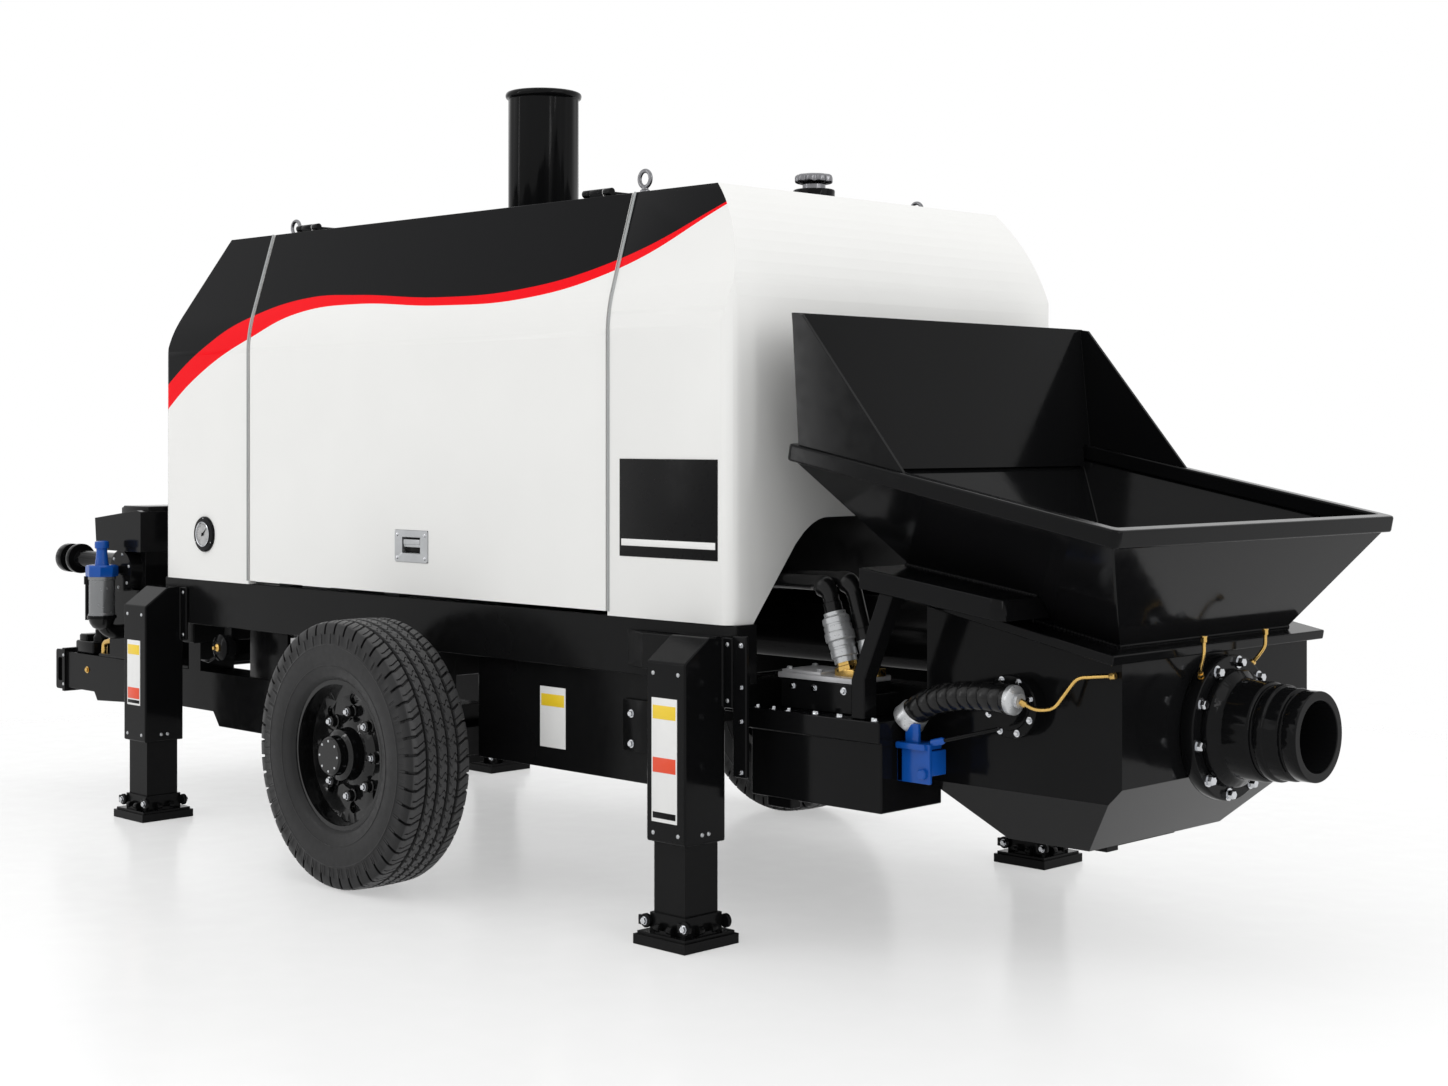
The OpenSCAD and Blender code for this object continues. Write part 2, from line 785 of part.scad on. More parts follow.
// Hopper
module hopper_rim() {
  r = 22;
  color(black)
    tilted()
      difference() {
        union() {
          bar(-rim_slant + r, -r, -rim_half, rim_half, -rim_bar_h, 0);
          bar(-rim_slant, 0, -rim_half + r, rim_half - r, -rim_bar_h, 0);
          pair()
            for (x = [-rim_slant + r, -r])
              rod_z(-rim_bar_h, 0, x, -rim_half + r, r);
        }
        bar(-rim_slant + rim_bar_w, -rim_bar_w, -rim_half + rim_bar_w, rim_half - rim_bar_w,
          -rim_bar_h - 1, 1);
      }
}
module funnel_blank(i, e) {
  w = rim_bar_w / 2 + i;
  tilted()
    hull() {
      bar(-rim_slant + w, -w, -rim_half + w, rim_half - w, -rim_bar_h - 0.01, -rim_bar_h + e);
      bar(foot_front + i, foot_rear - i, -funnel_half + i, funnel_half - i,
        -funnel_depth - e, -funnel_depth + 0.01);
    }
}
module hopper_funnel() {
  color(frame_black)
    difference() {
      funnel_blank(0, 0);
      funnel_blank(plate, 1);
    }
}
module guard_plate(half) {
  z0 = rim_front_z - 72;
  z1 = rim_front_z + guard_rise;
  lean = rim_fx + rim_bar_w + 6;
  translate([0, half, 0])
    rotate([90, 0, 0])
      linear_extrude(height = 2 * half)
        polygon([[rim_fx + 4, z1], [lean, z0], [lean + guard_t, z0], [rim_fx + 4 + guard_t, z1]]);
}
module hopper_guard() {
  z1 = rim_front_z + guard_rise;
  foot = rim_fx + guard_foot;
  color(frame_black) {
    guard_plate(rim_half - rim_bar_w - 20);
    intersection() {
      union() {
        guard_plate(guard_half);
        pair()
          translate([0, -guard_half + guard_t, 0])
            rotate([90, 0, 0])
              linear_extrude(height = guard_t)
                polygon([[rim_fx + 5, z1], [rim_fx + 40, z1 - 5], [foot, tilt_z(foot, 0)],
                  [rim_fx + 42, rim_rear_z]]);
      }
      tilted()
        bar(-rim_slant - 200, 0, -rim_half, rim_half, 0, 2 * guard_rise);
    }
  }
}
module hopper_flange() {
  color(black)
    tilted()
      difference() {
        bar(foot_front - 44, foot_rear + 55, -funnel_half - flange_w, funnel_half + flange_w,
          -flange_d, -funnel_depth);
        bar(foot_front + plate, foot_rear - plate, -funnel_half + plate, funnel_half - plate,
          -flange_d - 1, -funnel_depth + 1);
      }
}
module box_blank(i) {
  d = flange_d - i * 2;
  intersection() {
    translate([0, box_half + 10, 0])
      rotate([90, 0, 0])
        linear_extrude(height = 2 * box_half + 20)
          polygon([[box_x0 + i, box_fold_z + i / 2], [box_x0 + i, tilt_z(box_x0 + i, d)],
            [box_x1 - i, tilt_z(box_x1 - i, d)], [box_x1 - i, box_fold_z + 40 + i / 2],
            [box_x1 - 190 - i / 2, belly_z + i], [box_x0 + 165 + i / 2, belly_z + i]]);
    translate([box_x0 - 10, 0, 0])
      rotate([90, 0, 90])
        linear_extrude(height = box_x1 - box_x0 + 20)
          polygon([[-box_half + i, box_fold_z], [-belly_half + i / 2, belly_z + i],
            [belly_half - i / 2, belly_z + i], [box_half - i, box_fold_z], [box_half - i, rim_front_z],
            [-box_half + i, rim_front_z]]);
  }
}
module hopper_box() {
  color(black)
    difference() {
      union() {
        difference() {
          box_blank(0);
          box_blank(plate);
        }
        for (y = [-112, 90])
          bar(flap_x - 14, flap_x + 14, y, y + 22, flap_z - 14, belly_z + 1);
        rod_y(-112, 112, flap_x, flap_z, flap_pin_r);
      }
      pair()
        rod_x(box_x0 - 1, box_x0 + plate + 1, -port_half, port_z, swing_d / 2 - swing_wall);
      rod_x(box_x1 - plate - 1, box_x1 + 1, 0, outlet_z, swing_d / 2 + 15);
      pair()
        rod_y(-box_half - 1, -box_half + plate + 1, mixer_x, mixer_z, mixer_d / 2 + 5);
      bar(flap_x + 40, flap_x + flap_len - 16, -100, 100, belly_z - 1, belly_z + plate + 1);
    }
}
function ledge_z(x) = ledge_z1 - (x - ledge_x0) * tan(ledge_fall);
module ledge_slab(r) {
  translate([ledge_x0, 0, 0])
    linear_extrude(height = rim_front_z)
      union() {
        translate([0, -ledge_y0 + r])
          square([ledge_len, ledge_y0 - r - funnel_half - 10]);
        translate([0, -ledge_y0])
          square([ledge_len - r, ledge_y0 - funnel_half - 10]);
        translate([ledge_len - r, -ledge_y0 + r])
          circle(r = r);
      }
}
module hopper_ledges() {
  x1 = ledge_x0 + ledge_len;
  foot = box_x0 - 105;
  head = box_x0 - 9;
  post_w = 46;
  color(black)
    pair() {
      difference() {
        intersection() {
          ledge_slab(32);
          translate([0, -funnel_half, 0])
            rotate([90, 0, 0])
              linear_extrude(height = ledge_y0)
                polygon([[ledge_x0, ledge_z(ledge_x0) - ledge_t], [x1, ledge_z(x1) - ledge_t],
                  [x1, ledge_z(x1)], [ledge_x0, ledge_z(ledge_x0)]]);
        }
        funnel_blank(0, 0);
      }
      translate([0, -side_y1 + 50, 0])
        rotate([90, 0, 0])
          linear_extrude(height = 50)
            polygon([[foot, lid_z1], [foot + post_w, lid_z1], [foot + post_w, lid_z1 + 105],
              [head + post_w, ledge_z(head + post_w) - ledge_t], [head, ledge_z(head) - ledge_t],
              [foot, lid_z1 + 100]]);
    }
}
module side_boxes() {
  x0 = leg_rx + casing_sq / 2 + 8;
  color(black)
    pair() {
      bar(x0, box_x0, -side_y1, -arm_y1, side_z0, side_z1);
      bar(x0 - 8, box_x0, -side_y1 - 10, -arm_y1, side_z1 - 1, lid_z1);
      bar(x0 + 40, x0 + 130, -side_y1 + 20, -side_y1 + 60, side_z0 - 30, side_z0 + 1);
      bar(x0 + 32, hr + 60, -rail_half - 14, -rail_half, side_z0 + 60, hood_base_z - 25);
    }
}
module valve_block() {
  color(black) {
    bar(block_x0, block_x1, block_y0, block_y1, lid_z1, block_z1 - 14);
    bar(block_x1 + 12, block_x1 + 40, block_y0 + 20, block_y1, lid_z1, block_z1 - 40);
  }
}
module hose_stand(p) {
  translate([p[0], p[1], block_z1 - 14])
    rotate([0, -hose_lean, 0])
      children();
}
module elbow(bend, r, from, sweep) {
  rotate([90, 0, 0])
    rotate([0, 0, from + seam_turn])
      rotate_extrude(angle = sweep - 2 * seam_turn)
        translate([bend, 0])
          circle(r = r);
}
module steel_fittings() {
  color(steel) {
    bar(block_x0 - 5, block_x1 - 120, block_y0 - 5, block_y1 + 5, block_z1 - 14, block_z1);
    hose_stand(hose_a) {
      rod_z(49, 104, 0, 0, 26);
      rod_z(104, 124, 0, 0, 31);
      rod_z(124, 169, 0, 0, 24);
    }
    hose_stand(hose_b)
      rod_z(49, 109, 0, 0, 22);
    rod_z(bowl_z0, bowl_z1, filter_x, filter_y, 44);
    rod_x(box_x0, box_x0 + 14, -ribbed_y, ribbed_z, ribbed_r + 5);
  }
}
module brass_fittings() {
  y = -box_half - 8;
  color("#b98a35") {
    hose_stand(hose_a)
      rod_z(14 * tan(hose_lean) + 6, 49, 0, 0, 28);
    hose_stand(hose_b)
      rod_z(14 * tan(hose_lean) + 4, 49, 0, 0, 24);
    for (p = [hose_a, hose_b])
      rod_z(block_z1 - 14, block_z1 - 6, p[0], p[1], 22);
    translate([mixer_x, y, mixer_z]) {
      rod_x(bearing_r + 1, 155, 0, 0, 5);
      translate([151, 0, 0])
        rotate([0, 40, 0])
          cylinder(r = 5, h = 108);
      rod_x(217, box_x1 - mixer_x - 20, 0, 80, 5);
      for (p = [[110, 0], [260, 80]])
        translate([p[0], 2, p[1]])
          cube([12, 12, 12], center = true);
    }
  }
}
module blue_fittings() {
  color("#2f6fb5") {
    rod_z(bowl_z1, unit_z - 15, filter_x, filter_y, 50);
    rod_z(unit_z - 16, unit_z + 60, filter_x, filter_y, 18);
    rod_z(unit_z + 50, unit_z + 75, filter_x, filter_y, 23);
    bar(filter_x - 25, filter_x + 25, filter_y + 20, drum_y, bowl_z1 + 8, unit_z - 22);
    bar(box_x0, box_x0 + 70, -side_y1 + 60, -side_y1 + 130, side_z0 + 80, side_z1 - 10);
    rod_z(side_z0 + 40, side_z0 + 81, box_x0 + 38, -side_y1 + 95, 18);
  }
}
function stand_x(p) = p[0] - hose_bend * (1 - sin(hose_lean)) * cos(hose_lean)
  - (p[2] + hose_bend * cos(hose_lean)) * sin(hose_lean);
function stand_z(p) = block_z1 - 14 - hose_bend * (1 - sin(hose_lean)) * sin(hose_lean)
  + (p[2] + hose_bend * cos(hose_lean)) * cos(hose_lean);
module bent_hose(p, h) {
  hose_stand(p) {
    rod_z(h, p[2], 0, 0, hose_r);
    translate([-hose_bend, 0, p[2]])
      elbow(hose_bend, hose_r, 0, 90 - hose_lean);
  }
  rod_x(tank_x1, stand_x(p), p[1], stand_z(p), hose_r);
}
module rubber_hoses() {
  color("#141415") {
    bent_hose(hose_a, 169);
    bent_hose(hose_b, 109);
    translate([filter_x, filter_y + 60, bowl_z0])
      rotate([0, 0, 90])
        elbow(60, 27, 180, 90);
    rod_y(filter_y + 60, unit_y0, filter_x, bowl_z0 - 60, 27);
  }
}
module ribbed_hose() {
  x0 = box_x0 + 14;
  color("#141415")
    difference() {
      translate([x0, -ribbed_y, mixer_z])
        mirror([0, 0, 1])
          s_pipe(mixer_x - x0, 20, mixer_z - ribbed_z, ribbed_bend)
            circle(r = ribbed_r);
      rod_y(-hub_y - 50, -box_half, mixer_x, mixer_z, hub_r + run_gap);
    }
}
module outlet_flange() {
  color(black)
    difference() {
      rod_x(box_x1, flange_x, 0, outlet_z, outlet_flange_d / 2);
      rod_x(box_x1 - 1, flange_x + 1, 0, outlet_z, swing_d / 2 + run_gap);
    }
}
module outlet_pipe() {
  l = outlet_x - flange_x;
  r = outlet_bore / 2;
  color(black)
    translate([flange_x, 0, outlet_z])
      rotate([0, 90, 0])
        rotate_extrude()
          polygon([[r, 0], [r + 60, 0], [r + 60, 18], [r + 40, 36], [r + 36, 42], [r + 36, 112],
            [r + 30, 118], [r + 25, 118], [r + 25, 128], [r + 32, 131], [r + 32, 150], [r + 26, 153],
            [r + 26, l - 52], [r + 16, l - 48], [r + 16, l - 40], [outlet_ring_d / 2, l - 40],
            [outlet_ring_d / 2, l], [r, l]]);
}

// Inside the hopper
module swing_tube() {
  color(worn_steel)
    translate([swing_x0, 0, outlet_z])
      rotate([swing_angle, 0, 0])
        s_pipe(swing_x1 - swing_x0, 60, swing_offset, swing_bend)
          difference() {
            circle(r = swing_d / 2);
            circle(r = swing_d / 2 - swing_wall);
          }
}
module agitator(s) {
  mirror([0, s, 0]) {
    rod_y(-box_half - 20, -235, mixer_x, mixer_z, mixer_d / 2);
    for (k = [0 : 1])
      translate([mixer_x, -380 + 100 * k, mixer_z])
        rotate([0, 90 * k, 0])
          bar(-paddle_r, paddle_r, -12, 12, -30, 30);
  }
}
module agitator_left() {
  color(worn_steel) agitator(0);
}
module agitator_right() {
  color(worn_steel) agitator(1);
}
module agitator_bearings() {
  color(black)
    pair()
      difference() {
        union() {
          rod_y(-box_half - 45, -box_half, mixer_x, mixer_z, bearing_r);
          rod_y(-hub_y, -box_half - 44, mixer_x, mixer_z, hub_r);
        }
        rod_y(-box_half - 25, -box_half + 1, mixer_x, mixer_z, mixer_d / 2 + run_gap);
      }
}
module cleanout_door() {
  color(black)
    difference() {
      union() {
        bar(flap_x + 26, flap_x + flap_len, -130, 130, belly_z - 12.5, belly_z - 0.5);
        bar(flap_x, flap_x + 30, -85, 85, belly_z - 18, belly_z - 6);
        rod_y(-86, 86, flap_x, flap_z, 14);
        bar(flap_x + flap_len - 60, flap_x + flap_len - 20, -150, -100, belly_z - 30, belly_z - 12);
      }
      rod_y(-90, 90, flap_x, flap_z, flap_pin_r + run_gap);
    }
}

// Wheels
function tyre_side(q) = let (r = tyre_d / 2, b = rim_d / 2)
  [for (p = [[b, 0.39], [b + 14, 0.45], [b + 45, 0.485], [r - 95, 0.5], [r - 50, 0.495], [r - 22, 0.475],
      [r - 7, 0.445], [r, 0.4]])
    [p[0], q * p[1] * tyre_w]];
module tyre(s) {
  color("#1b1c1d")
    mirror([0, s, 0])
      translate([axle_x, -half_track, axle_z])
        rotate([90, 0, 0])
          rotate_extrude()
            polygon(concat(tyre_side(-1), turned(tyre_side(1))));
}
module tyre_left() {
  tyre(0);
}
module tyre_right() {
  tyre(1);
}
module rim(s) {
  b = rim_d / 2;
  w = tyre_w * 0.39;
  color("#1f2022")
    mirror([0, s, 0])
      translate([axle_x, -half_track, axle_z])
        rotate([90, 0, 0])
          difference() {
            rotate_extrude()
              polygon([[0, -10], [85, -10], [110, 12], [b - 22, 18], [b - 22, -w], [b - run_gap, -w],
                [b - run_gap, w], [b - 14, w], [b - 16, 34], [b - 50, 32], [112, 30], [92, 44], [80, 46],
                [76, 84], [60, 90], [58, 116], [52, 121], [0, 121]]);
            translate([0, 0, -11])
              cylinder(r = stub_d / 2 + run_gap, h = 41);
            for (k = [0 : hand_holes - 1])
              rotate([0, 0, 360 / hand_holes * k])
                translate([b - 62, 0, 0])
                  cylinder(r = 17, h = 60);
          }
}
module rim_left() {
  rim(0);
}
module rim_right() {
  rim(1);
}

rail_left();
rail_right();
cross_members();
hopper_arms();
skirts();
axle();
tow_left();
tow_right();
brake_valve();
front_deck();
front_unit();
leg_casings();
leg_front_left();
leg_front_right();
leg_rear_left();
leg_rear_right();
hood_front();
front_grille();
hood_rear();
hood_roof();
door_hinges();
door_left();
door_right();
latch_left();
latch_right();
gauge();
stack();
lifting_eyes();
filler_cap();
engine();
oil_tank();
pump_kit();
hopper_rim();
hopper_funnel();
hopper_guard();
hopper_flange();
hopper_box();
hopper_ledges();
side_boxes();
valve_block();
steel_fittings();
brass_fittings();
blue_fittings();
rubber_hoses();
ribbed_hose();
outlet_flange();
outlet_pipe();
swing_tube();
agitator_left();
agitator_right();
agitator_bearings();
cleanout_door();
tyre_left();
rim_left();
tyre_right();
rim_right();
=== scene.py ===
import bmesh
import bpy
import math
import numpy as np
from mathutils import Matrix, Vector


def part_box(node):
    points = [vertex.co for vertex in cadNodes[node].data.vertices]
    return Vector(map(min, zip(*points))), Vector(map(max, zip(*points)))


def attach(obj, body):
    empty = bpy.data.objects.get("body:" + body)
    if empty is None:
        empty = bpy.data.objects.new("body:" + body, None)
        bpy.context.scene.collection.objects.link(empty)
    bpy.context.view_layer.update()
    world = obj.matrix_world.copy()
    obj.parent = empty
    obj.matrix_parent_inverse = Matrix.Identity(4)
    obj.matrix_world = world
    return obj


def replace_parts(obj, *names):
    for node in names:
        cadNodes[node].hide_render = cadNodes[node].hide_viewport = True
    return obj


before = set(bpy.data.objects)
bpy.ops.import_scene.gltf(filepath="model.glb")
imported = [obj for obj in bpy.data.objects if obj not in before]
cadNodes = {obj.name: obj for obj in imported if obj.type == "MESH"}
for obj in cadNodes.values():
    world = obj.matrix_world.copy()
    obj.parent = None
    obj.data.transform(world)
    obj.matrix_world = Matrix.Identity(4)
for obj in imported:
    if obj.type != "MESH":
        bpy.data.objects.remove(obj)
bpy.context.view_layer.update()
print("frame loaded:", len(cadNodes), "nodes")


def nodeBox(name):  # lowest and highest corner of a CAD node
    lo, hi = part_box(name)
    return np.array(lo), np.array(hi)


# Shapes: each gives an array of points and an array of four-sided faces

def gridShape(points):  # a grid of points, joined to its neighbours by quads
    rows, cols = points.shape[:2]
    ids = np.arange(rows * cols).reshape(rows, cols)
    quads = np.stack([ids[:-1, :-1], ids[1:, :-1], ids[1:, 1:], ids[:-1, 1:]], -1)
    return points.reshape(-1, 3), quads.reshape(-1, 4)


def joinShapes(shapes):  # several shapes as one, with the faces counted on
    counts = np.cumsum([0] + [len(points) for points, quads in shapes])
    points = np.concatenate([points for points, quads in shapes])
    quads = np.concatenate([quads + start for (p, quads), start in zip(shapes, counts)])
    return points, quads


def sideAxes(axis):  # two directions square to an axis
    axis = np.asarray(axis, float) / np.linalg.norm(axis)
    helper = np.eye(3)[np.argmin(np.abs(axis))]
    first = np.cross(axis, helper)
    first /= np.linalg.norm(first)
    return axis, first, np.cross(axis, first)


def lathe(profile, origin, axis, sides=48, start=0.0):
    # point = origin + height * axis + radius * (cos a, sin a), for each pair (radius, height) and angle a
    axis, first, second = sideAxes(axis)
    radius, height = np.asarray(profile, float).T
    angle = start + np.linspace(0, 2 * np.pi, sides + 1)
    ring = np.cos(angle)[:, None] * first + np.sin(angle)[:, None] * second
    points = np.asarray(origin) + height[:, None, None] * axis + radius[:, None, None] * ring
    return gridShape(points)


def pathTube(path, radius, sides=20):
    # a circle carried square to a path, closed at both ends; radius may change along it
    path = np.asarray(path, float)
    radius = np.broadcast_to(radius, len(path)).astype(float)
    path = np.concatenate([path[:1], path, path[-1:]])
    radius = np.concatenate([[0.0], radius, [0.0]])
    inner = path[1:-1]
    tangent = np.gradient(inner, axis=0)
    tangent /= np.linalg.norm(tangent, axis=1)[:, None]
    tangent = np.concatenate([tangent[:1], tangent, tangent[-1:]])
    plane = np.linalg.svd(inner - inner.mean(0))[2][2]  # the direction in which the path varies least
    first = np.cross(tangent, plane)
    first /= np.linalg.norm(first, axis=1)[:, None]
    second = np.cross(tangent, first)
    angle = np.linspace(0, 2 * np.pi, sides + 1)[None, :, None]
    ring = np.cos(angle) * first[:, None] + np.sin(angle) * second[:, None]
    return gridShape(path[:, None] + radius[:, None, None] * ring)


def softPath(corners, bend, steps=9):
    # straight runs between corners, each inner corner rounded by a quadratic curve that starts bend before it
    corners = np.asarray(corners, float)
    before, corner, after = corners[:-2], corners[1:-1], corners[2:]
    towards = (before - corner) / np.linalg.norm(before - corner, axis=1)[:, None]
    away = (after - corner) / np.linalg.norm(after - corner, axis=1)[:, None]
    t = np.linspace(0, 1, steps)[None, :, None]
    arcs = (1 - t) ** 2 * (corner + bend * towards)[:, None] + 2 * t * (1 - t) * corner[:, None] \
        + t ** 2 * (corner + bend * away)[:, None]
    return np.concatenate([corners[:1], arcs.reshape(-1, 3), corners[-1:]])


def evenPath(path, count):  # the same path with points at even steps along its length
    path = np.asarray(path, float)
    run = np.concatenate([[0], np.cumsum(np.linalg.norm(np.diff(path, axis=0), axis=1))])
    at = np.linspace(0, run[-1], count)
    return np.stack([np.interp(at, run, path[:, k]) for k in range(3)], -1), at


def roundBox(lo, hi, radius, steps=4):
    # a sphere's latitude and longitude grid whose eight octants are pulled apart to the corners of a box
    lo, hi = np.asarray(lo, float), np.asarray(hi, float)
    centre, half = (lo + hi) / 2, (hi - lo) / 2 - radius
    lat = np.concatenate([np.linspace(-90, 0, steps), np.linspace(0, 90, steps)])
    up = np.repeat([-1.0, 1.0], steps)
    lon = np.concatenate([np.linspace(q, q + 90, steps) for q in (0, 90, 180, 270)] + [[0]])
    right = np.concatenate([np.repeat([1.0, -1.0, -1.0, 1.0], steps), [1.0]])
    far = np.concatenate([np.repeat([1.0, 1.0, -1.0, -1.0], steps), [1.0]])
    lat, lon = np.radians(lat)[:, None], np.radians(lon)[None, :]
    ball = np.stack(np.broadcast_arrays(np.cos(lat) * np.cos(lon), np.cos(lat) * np.sin(lon), np.sin(lat)),
                    -1)
    pull = np.stack(np.broadcast_arrays(right[None, :], far[None, :], up[:, None]), -1)
    points = centre + pull * half + radius * ball
    ends = np.stack(np.broadcast_arrays(centre[0], centre[1], np.array([[lo[2]], [hi[2]]]) + 0 * lon), -1)
    return gridShape(np.concatenate([ends[:1], points, ends[1:]]))


def placeMany(shape, origins, axes):  # copies of a shape made about +Z, each stood on its own axis
    points, quads = shape
    origins = np.asarray(origins, float).reshape(-1, 3)
    axes = np.broadcast_to(np.asarray(axes, float), origins.shape)
    turns = np.array([np.stack(sideAxes(a)[1:] + sideAxes(a)[:1], -1) for a in axes])
    spread = origins[:, None] + np.einsum("kij,nj->kni", turns, points)
    start = np.arange(len(origins))[:, None, None] * len(points)
    return spread.reshape(-1, 3), (quads[None] + start).reshape(-1, 4)


def mirrorShape(shape):  # the same shape on the machine's other side
    points, quads = shape
    return points * np.array([1, -1, 1]), quads[:, ::-1]


def addPiece(name, shape, material, body, sharp=35):
    points, quads = shape
    mesh = bpy.data.meshes.new(name)
    mesh.from_pydata(points.tolist(), [], quads.tolist())
    work = bmesh.new()
    work.from_mesh(mesh)
    bmesh.ops.remove_doubles(work, verts=work.verts, dist=1e-6)  # closes seams and poles
    bmesh.ops.dissolve_degenerate(work, edges=work.edges, dist=1e-7)
    bmesh.ops.recalc_face_normals(work, faces=work.faces)
    work.to_mesh(mesh)
    work.free()
    mesh.polygons.foreach_set("use_smooth", np.ones(len(mesh.polygons), bool))
    mesh.set_sharp_from_angle(angle=math.radians(sharp))
    piece = bpy.data.objects.new(name, mesh)
    bpy.context.scene.collection.objects.link(piece)
    mesh.materials.append(material)
    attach(piece, body)
    return piece


# Materials, all on Object coordinates

class Look:  # a material with a principled shader and short ways to add nodes
    def __init__(self, name):
        self.material = bpy.data.materials.new(name)
        self.material.use_nodes = True
        self.tree = self.material.node_tree
        self.tree.nodes.clear()
        self.shader = self.add("ShaderNodeBsdfPrincipled")
        self.out = self.add("ShaderNodeOutputMaterial")
        self.join(self.shader.outputs[0], self.out.inputs[0])
        self.place = self.add("ShaderNodeTexCoord").outputs["Object"]

    def add(self, kind, **settings):
        node = self.tree.nodes.new(kind)
        for key, value in settings.items():
            setattr(node, key, value)
        return node

    def join(self, output, target):
        self.tree.links.new(output, target)

    def sockets(self, **values):  # constant sockets, by name with underscores
        for key, value in values.items():
            self.shader.inputs[key.replace("_", " ")].default_value = value

    def noise(self, scale, detail):
        noise = self.add("ShaderNodeTexNoise")
        noise.inputs["Scale"].default_value = scale
        noise.inputs["Detail"].default_value = detail
        self.join(self.place, noise.inputs["Vector"])
        return noise.outputs["Fac"]

    def ramp(self, value, low, high, outLow, outHigh):
        node = self.add("ShaderNodeMapRange")
        node.inputs["From Min"].default_value = low
        node.inputs["From Max"].default_value = high
        node.inputs["To Min"].default_value = outLow
        node.inputs["To Max"].default_value = outHigh
        self.join(value, node.inputs["Value"])
        return node.outputs["Result"]

    def math(self, operation, first, second):
        node = self.add("ShaderNodeMath", operation=operation)
        for socket, value in zip(node.inputs, (first, second)):
            if isinstance(value, (int, float)):
                socket.default_value = value
            else:
                self.join(value, socket)
        return node.outputs[0]

    def mix(self, factor, first, second):
        node = self.add("ShaderNodeMix", data_type="RGBA")
        self.join(factor, node.inputs["Factor"])
        for socket, value in ((node.inputs[6], first), (node.inputs[7], second)):
            if isinstance(value, tuple):
                socket.default_value = value + (1,)
            else:
                self.join(value, socket)
        return node.outputs[2]

    def bump(self, height, strength, distance):
        node = self.add("ShaderNodeBump")
        node.inputs["Strength"].default_value = strength
        node.inputs["Distance"].default_value = distance
        self.join(height, node.inputs["Height"])
        self.join(node.outputs[0], self.shader.inputs["Normal"])


def shade(color, factor):  # a colour made lighter or darker
    return tuple(min(1.0, c * factor) for c in color)


noiseSpan = (0.3, 0.7)  # where a noise has nearly all its values


def surfaceLook(name, color, rough, spread=0.15, roughSpread=0.05, grain=60.0, bump=0.0, bumpScale=400.0,
                bumpDepth=0.0005, **sockets):
    # a finish with cloudy colour, uneven gloss and a fine bump
    look = Look(name)
    clouds = look.ramp(look.noise(grain * 0.1, 4.0), *noiseSpan, 0.0, 1.0)
    cloudy = look.mix(clouds, shade(color, 1 - spread), shade(color, 1 + spread))
    look.join(cloudy, look.shader.inputs["Base Color"])
    gloss = look.ramp(look.noise(grain, 5.0), *noiseSpan, rough - roughSpread, rough + roughSpread)
    look.join(gloss, look.shader.inputs["Roughness"])
    if bump:
        look.bump(look.noise(bumpScale, 2.0), bump, bumpDepth)
    look.sockets(**sockets)
    return look


def finish(name, color, rough, **settings):  # a surface look as a plain material
    return surfaceLook(name, color, rough, **settings).material


blackPaint = finish("blackGlossPaint", (0.0042, 0.0043, 0.0046), 0.11, roughSpread=0.03, grain=25, bump=0.03,
                    bumpScale=90, Specular_IOR_Level=0.09)
chassisPaint = finish("chassisSatinPaint", (0.0048, 0.0049, 0.0051), 0.2, grain=30, bump=0.03, bumpScale=120,
                      Specular_IOR_Level=0.08)
rimPaint = finish("rimGlossPaint", (0.004, 0.0041, 0.0043), 0.08, roughSpread=0.03, grain=30, bump=0.02,
                  Specular_IOR_Level=0.3)
hoseRubber = finish("hoseRubber", (0.005, 0.005, 0.0052), 0.2, bump=0.12, bumpScale=500,
                    Specular_IOR_Level=0.24)
chrome = finish("chrome", (0.56, 0.57, 0.59), 0.12, spread=0.04, grain=90, Metallic=1.0)
eyeSteel = finish("eyeSteel", (0.2, 0.2, 0.21), 0.25, spread=0.1, roughSpread=0.08, grain=90, Metallic=1.0)
zincPlate = finish("zincPlate", (0.4, 0.4, 0.41), 0.4, spread=0.08, grain=120, bump=0.04, Metallic=0.4)
dialFace = finish("dialFace", (0.4, 0.4, 0.4), 0.4, spread=0.2, grain=300)
steel = finish("machinedSteel", (0.5, 0.51, 0.52), 0.3, spread=0.04, roughSpread=0.04, grain=120, bump=0.01,
               bumpScale=600, Metallic=0.65)
latchMetal = finish("latchMetal", (0.42, 0.43, 0.44), 0.38, spread=0.08, grain=150, bump=0.05, bumpScale=900,
                    Metallic=0.85)
brass = finish("brass", (0.62, 0.4, 0.12), 0.28, spread=0.12, roughSpread=0.1, grain=100, Metallic=1.0)
bluePaint = finish("blueEnamel", (0.004, 0.07, 0.34), 0.2, spread=0.1, bump=0.04, Specular_IOR_Level=0.3)
bowlSteel = finish("bowlSteel", (0.2, 0.205, 0.21), 0.24, spread=0.06, roughSpread=0.04, Metallic=0.65)
castIron = finish("castIron", (0.06, 0.062, 0.066), 0.6, spread=0.2, bump=0.3, bumpScale=300, bumpDepth=0.001)
wornSteel = finish("wornSteel", (0.16, 0.16, 0.165), 0.45, spread=0.3, roughSpread=0.15, grain=40, bump=0.2,
                   bumpScale=150, bumpDepth=0.001, Metallic=0.9)
labelWhite = finish("labelWhite", (0.74, 0.74, 0.73), 0.35, spread=0.02, grain=80, bump=0.03)
labelYellow = finish("labelYellow", (0.8, 0.56, 0.02), 0.35, spread=0.04, grain=80, bump=0.03)
labelOrange = finish("labelOrange", (0.72, 0.055, 0.008), 0.35, spread=0.04, grain=80, bump=0.03)
plateBlack = finish("plateBlack", (0.004, 0.004, 0.0043), 0.3, spread=0.1, grain=40, bump=0.02,
                    Specular_IOR_Level=0.08)
sealRubberGapShade = finish("sealRubberGapShade", (0.02, 0.02, 0.02), 0.55, bump=0.1)
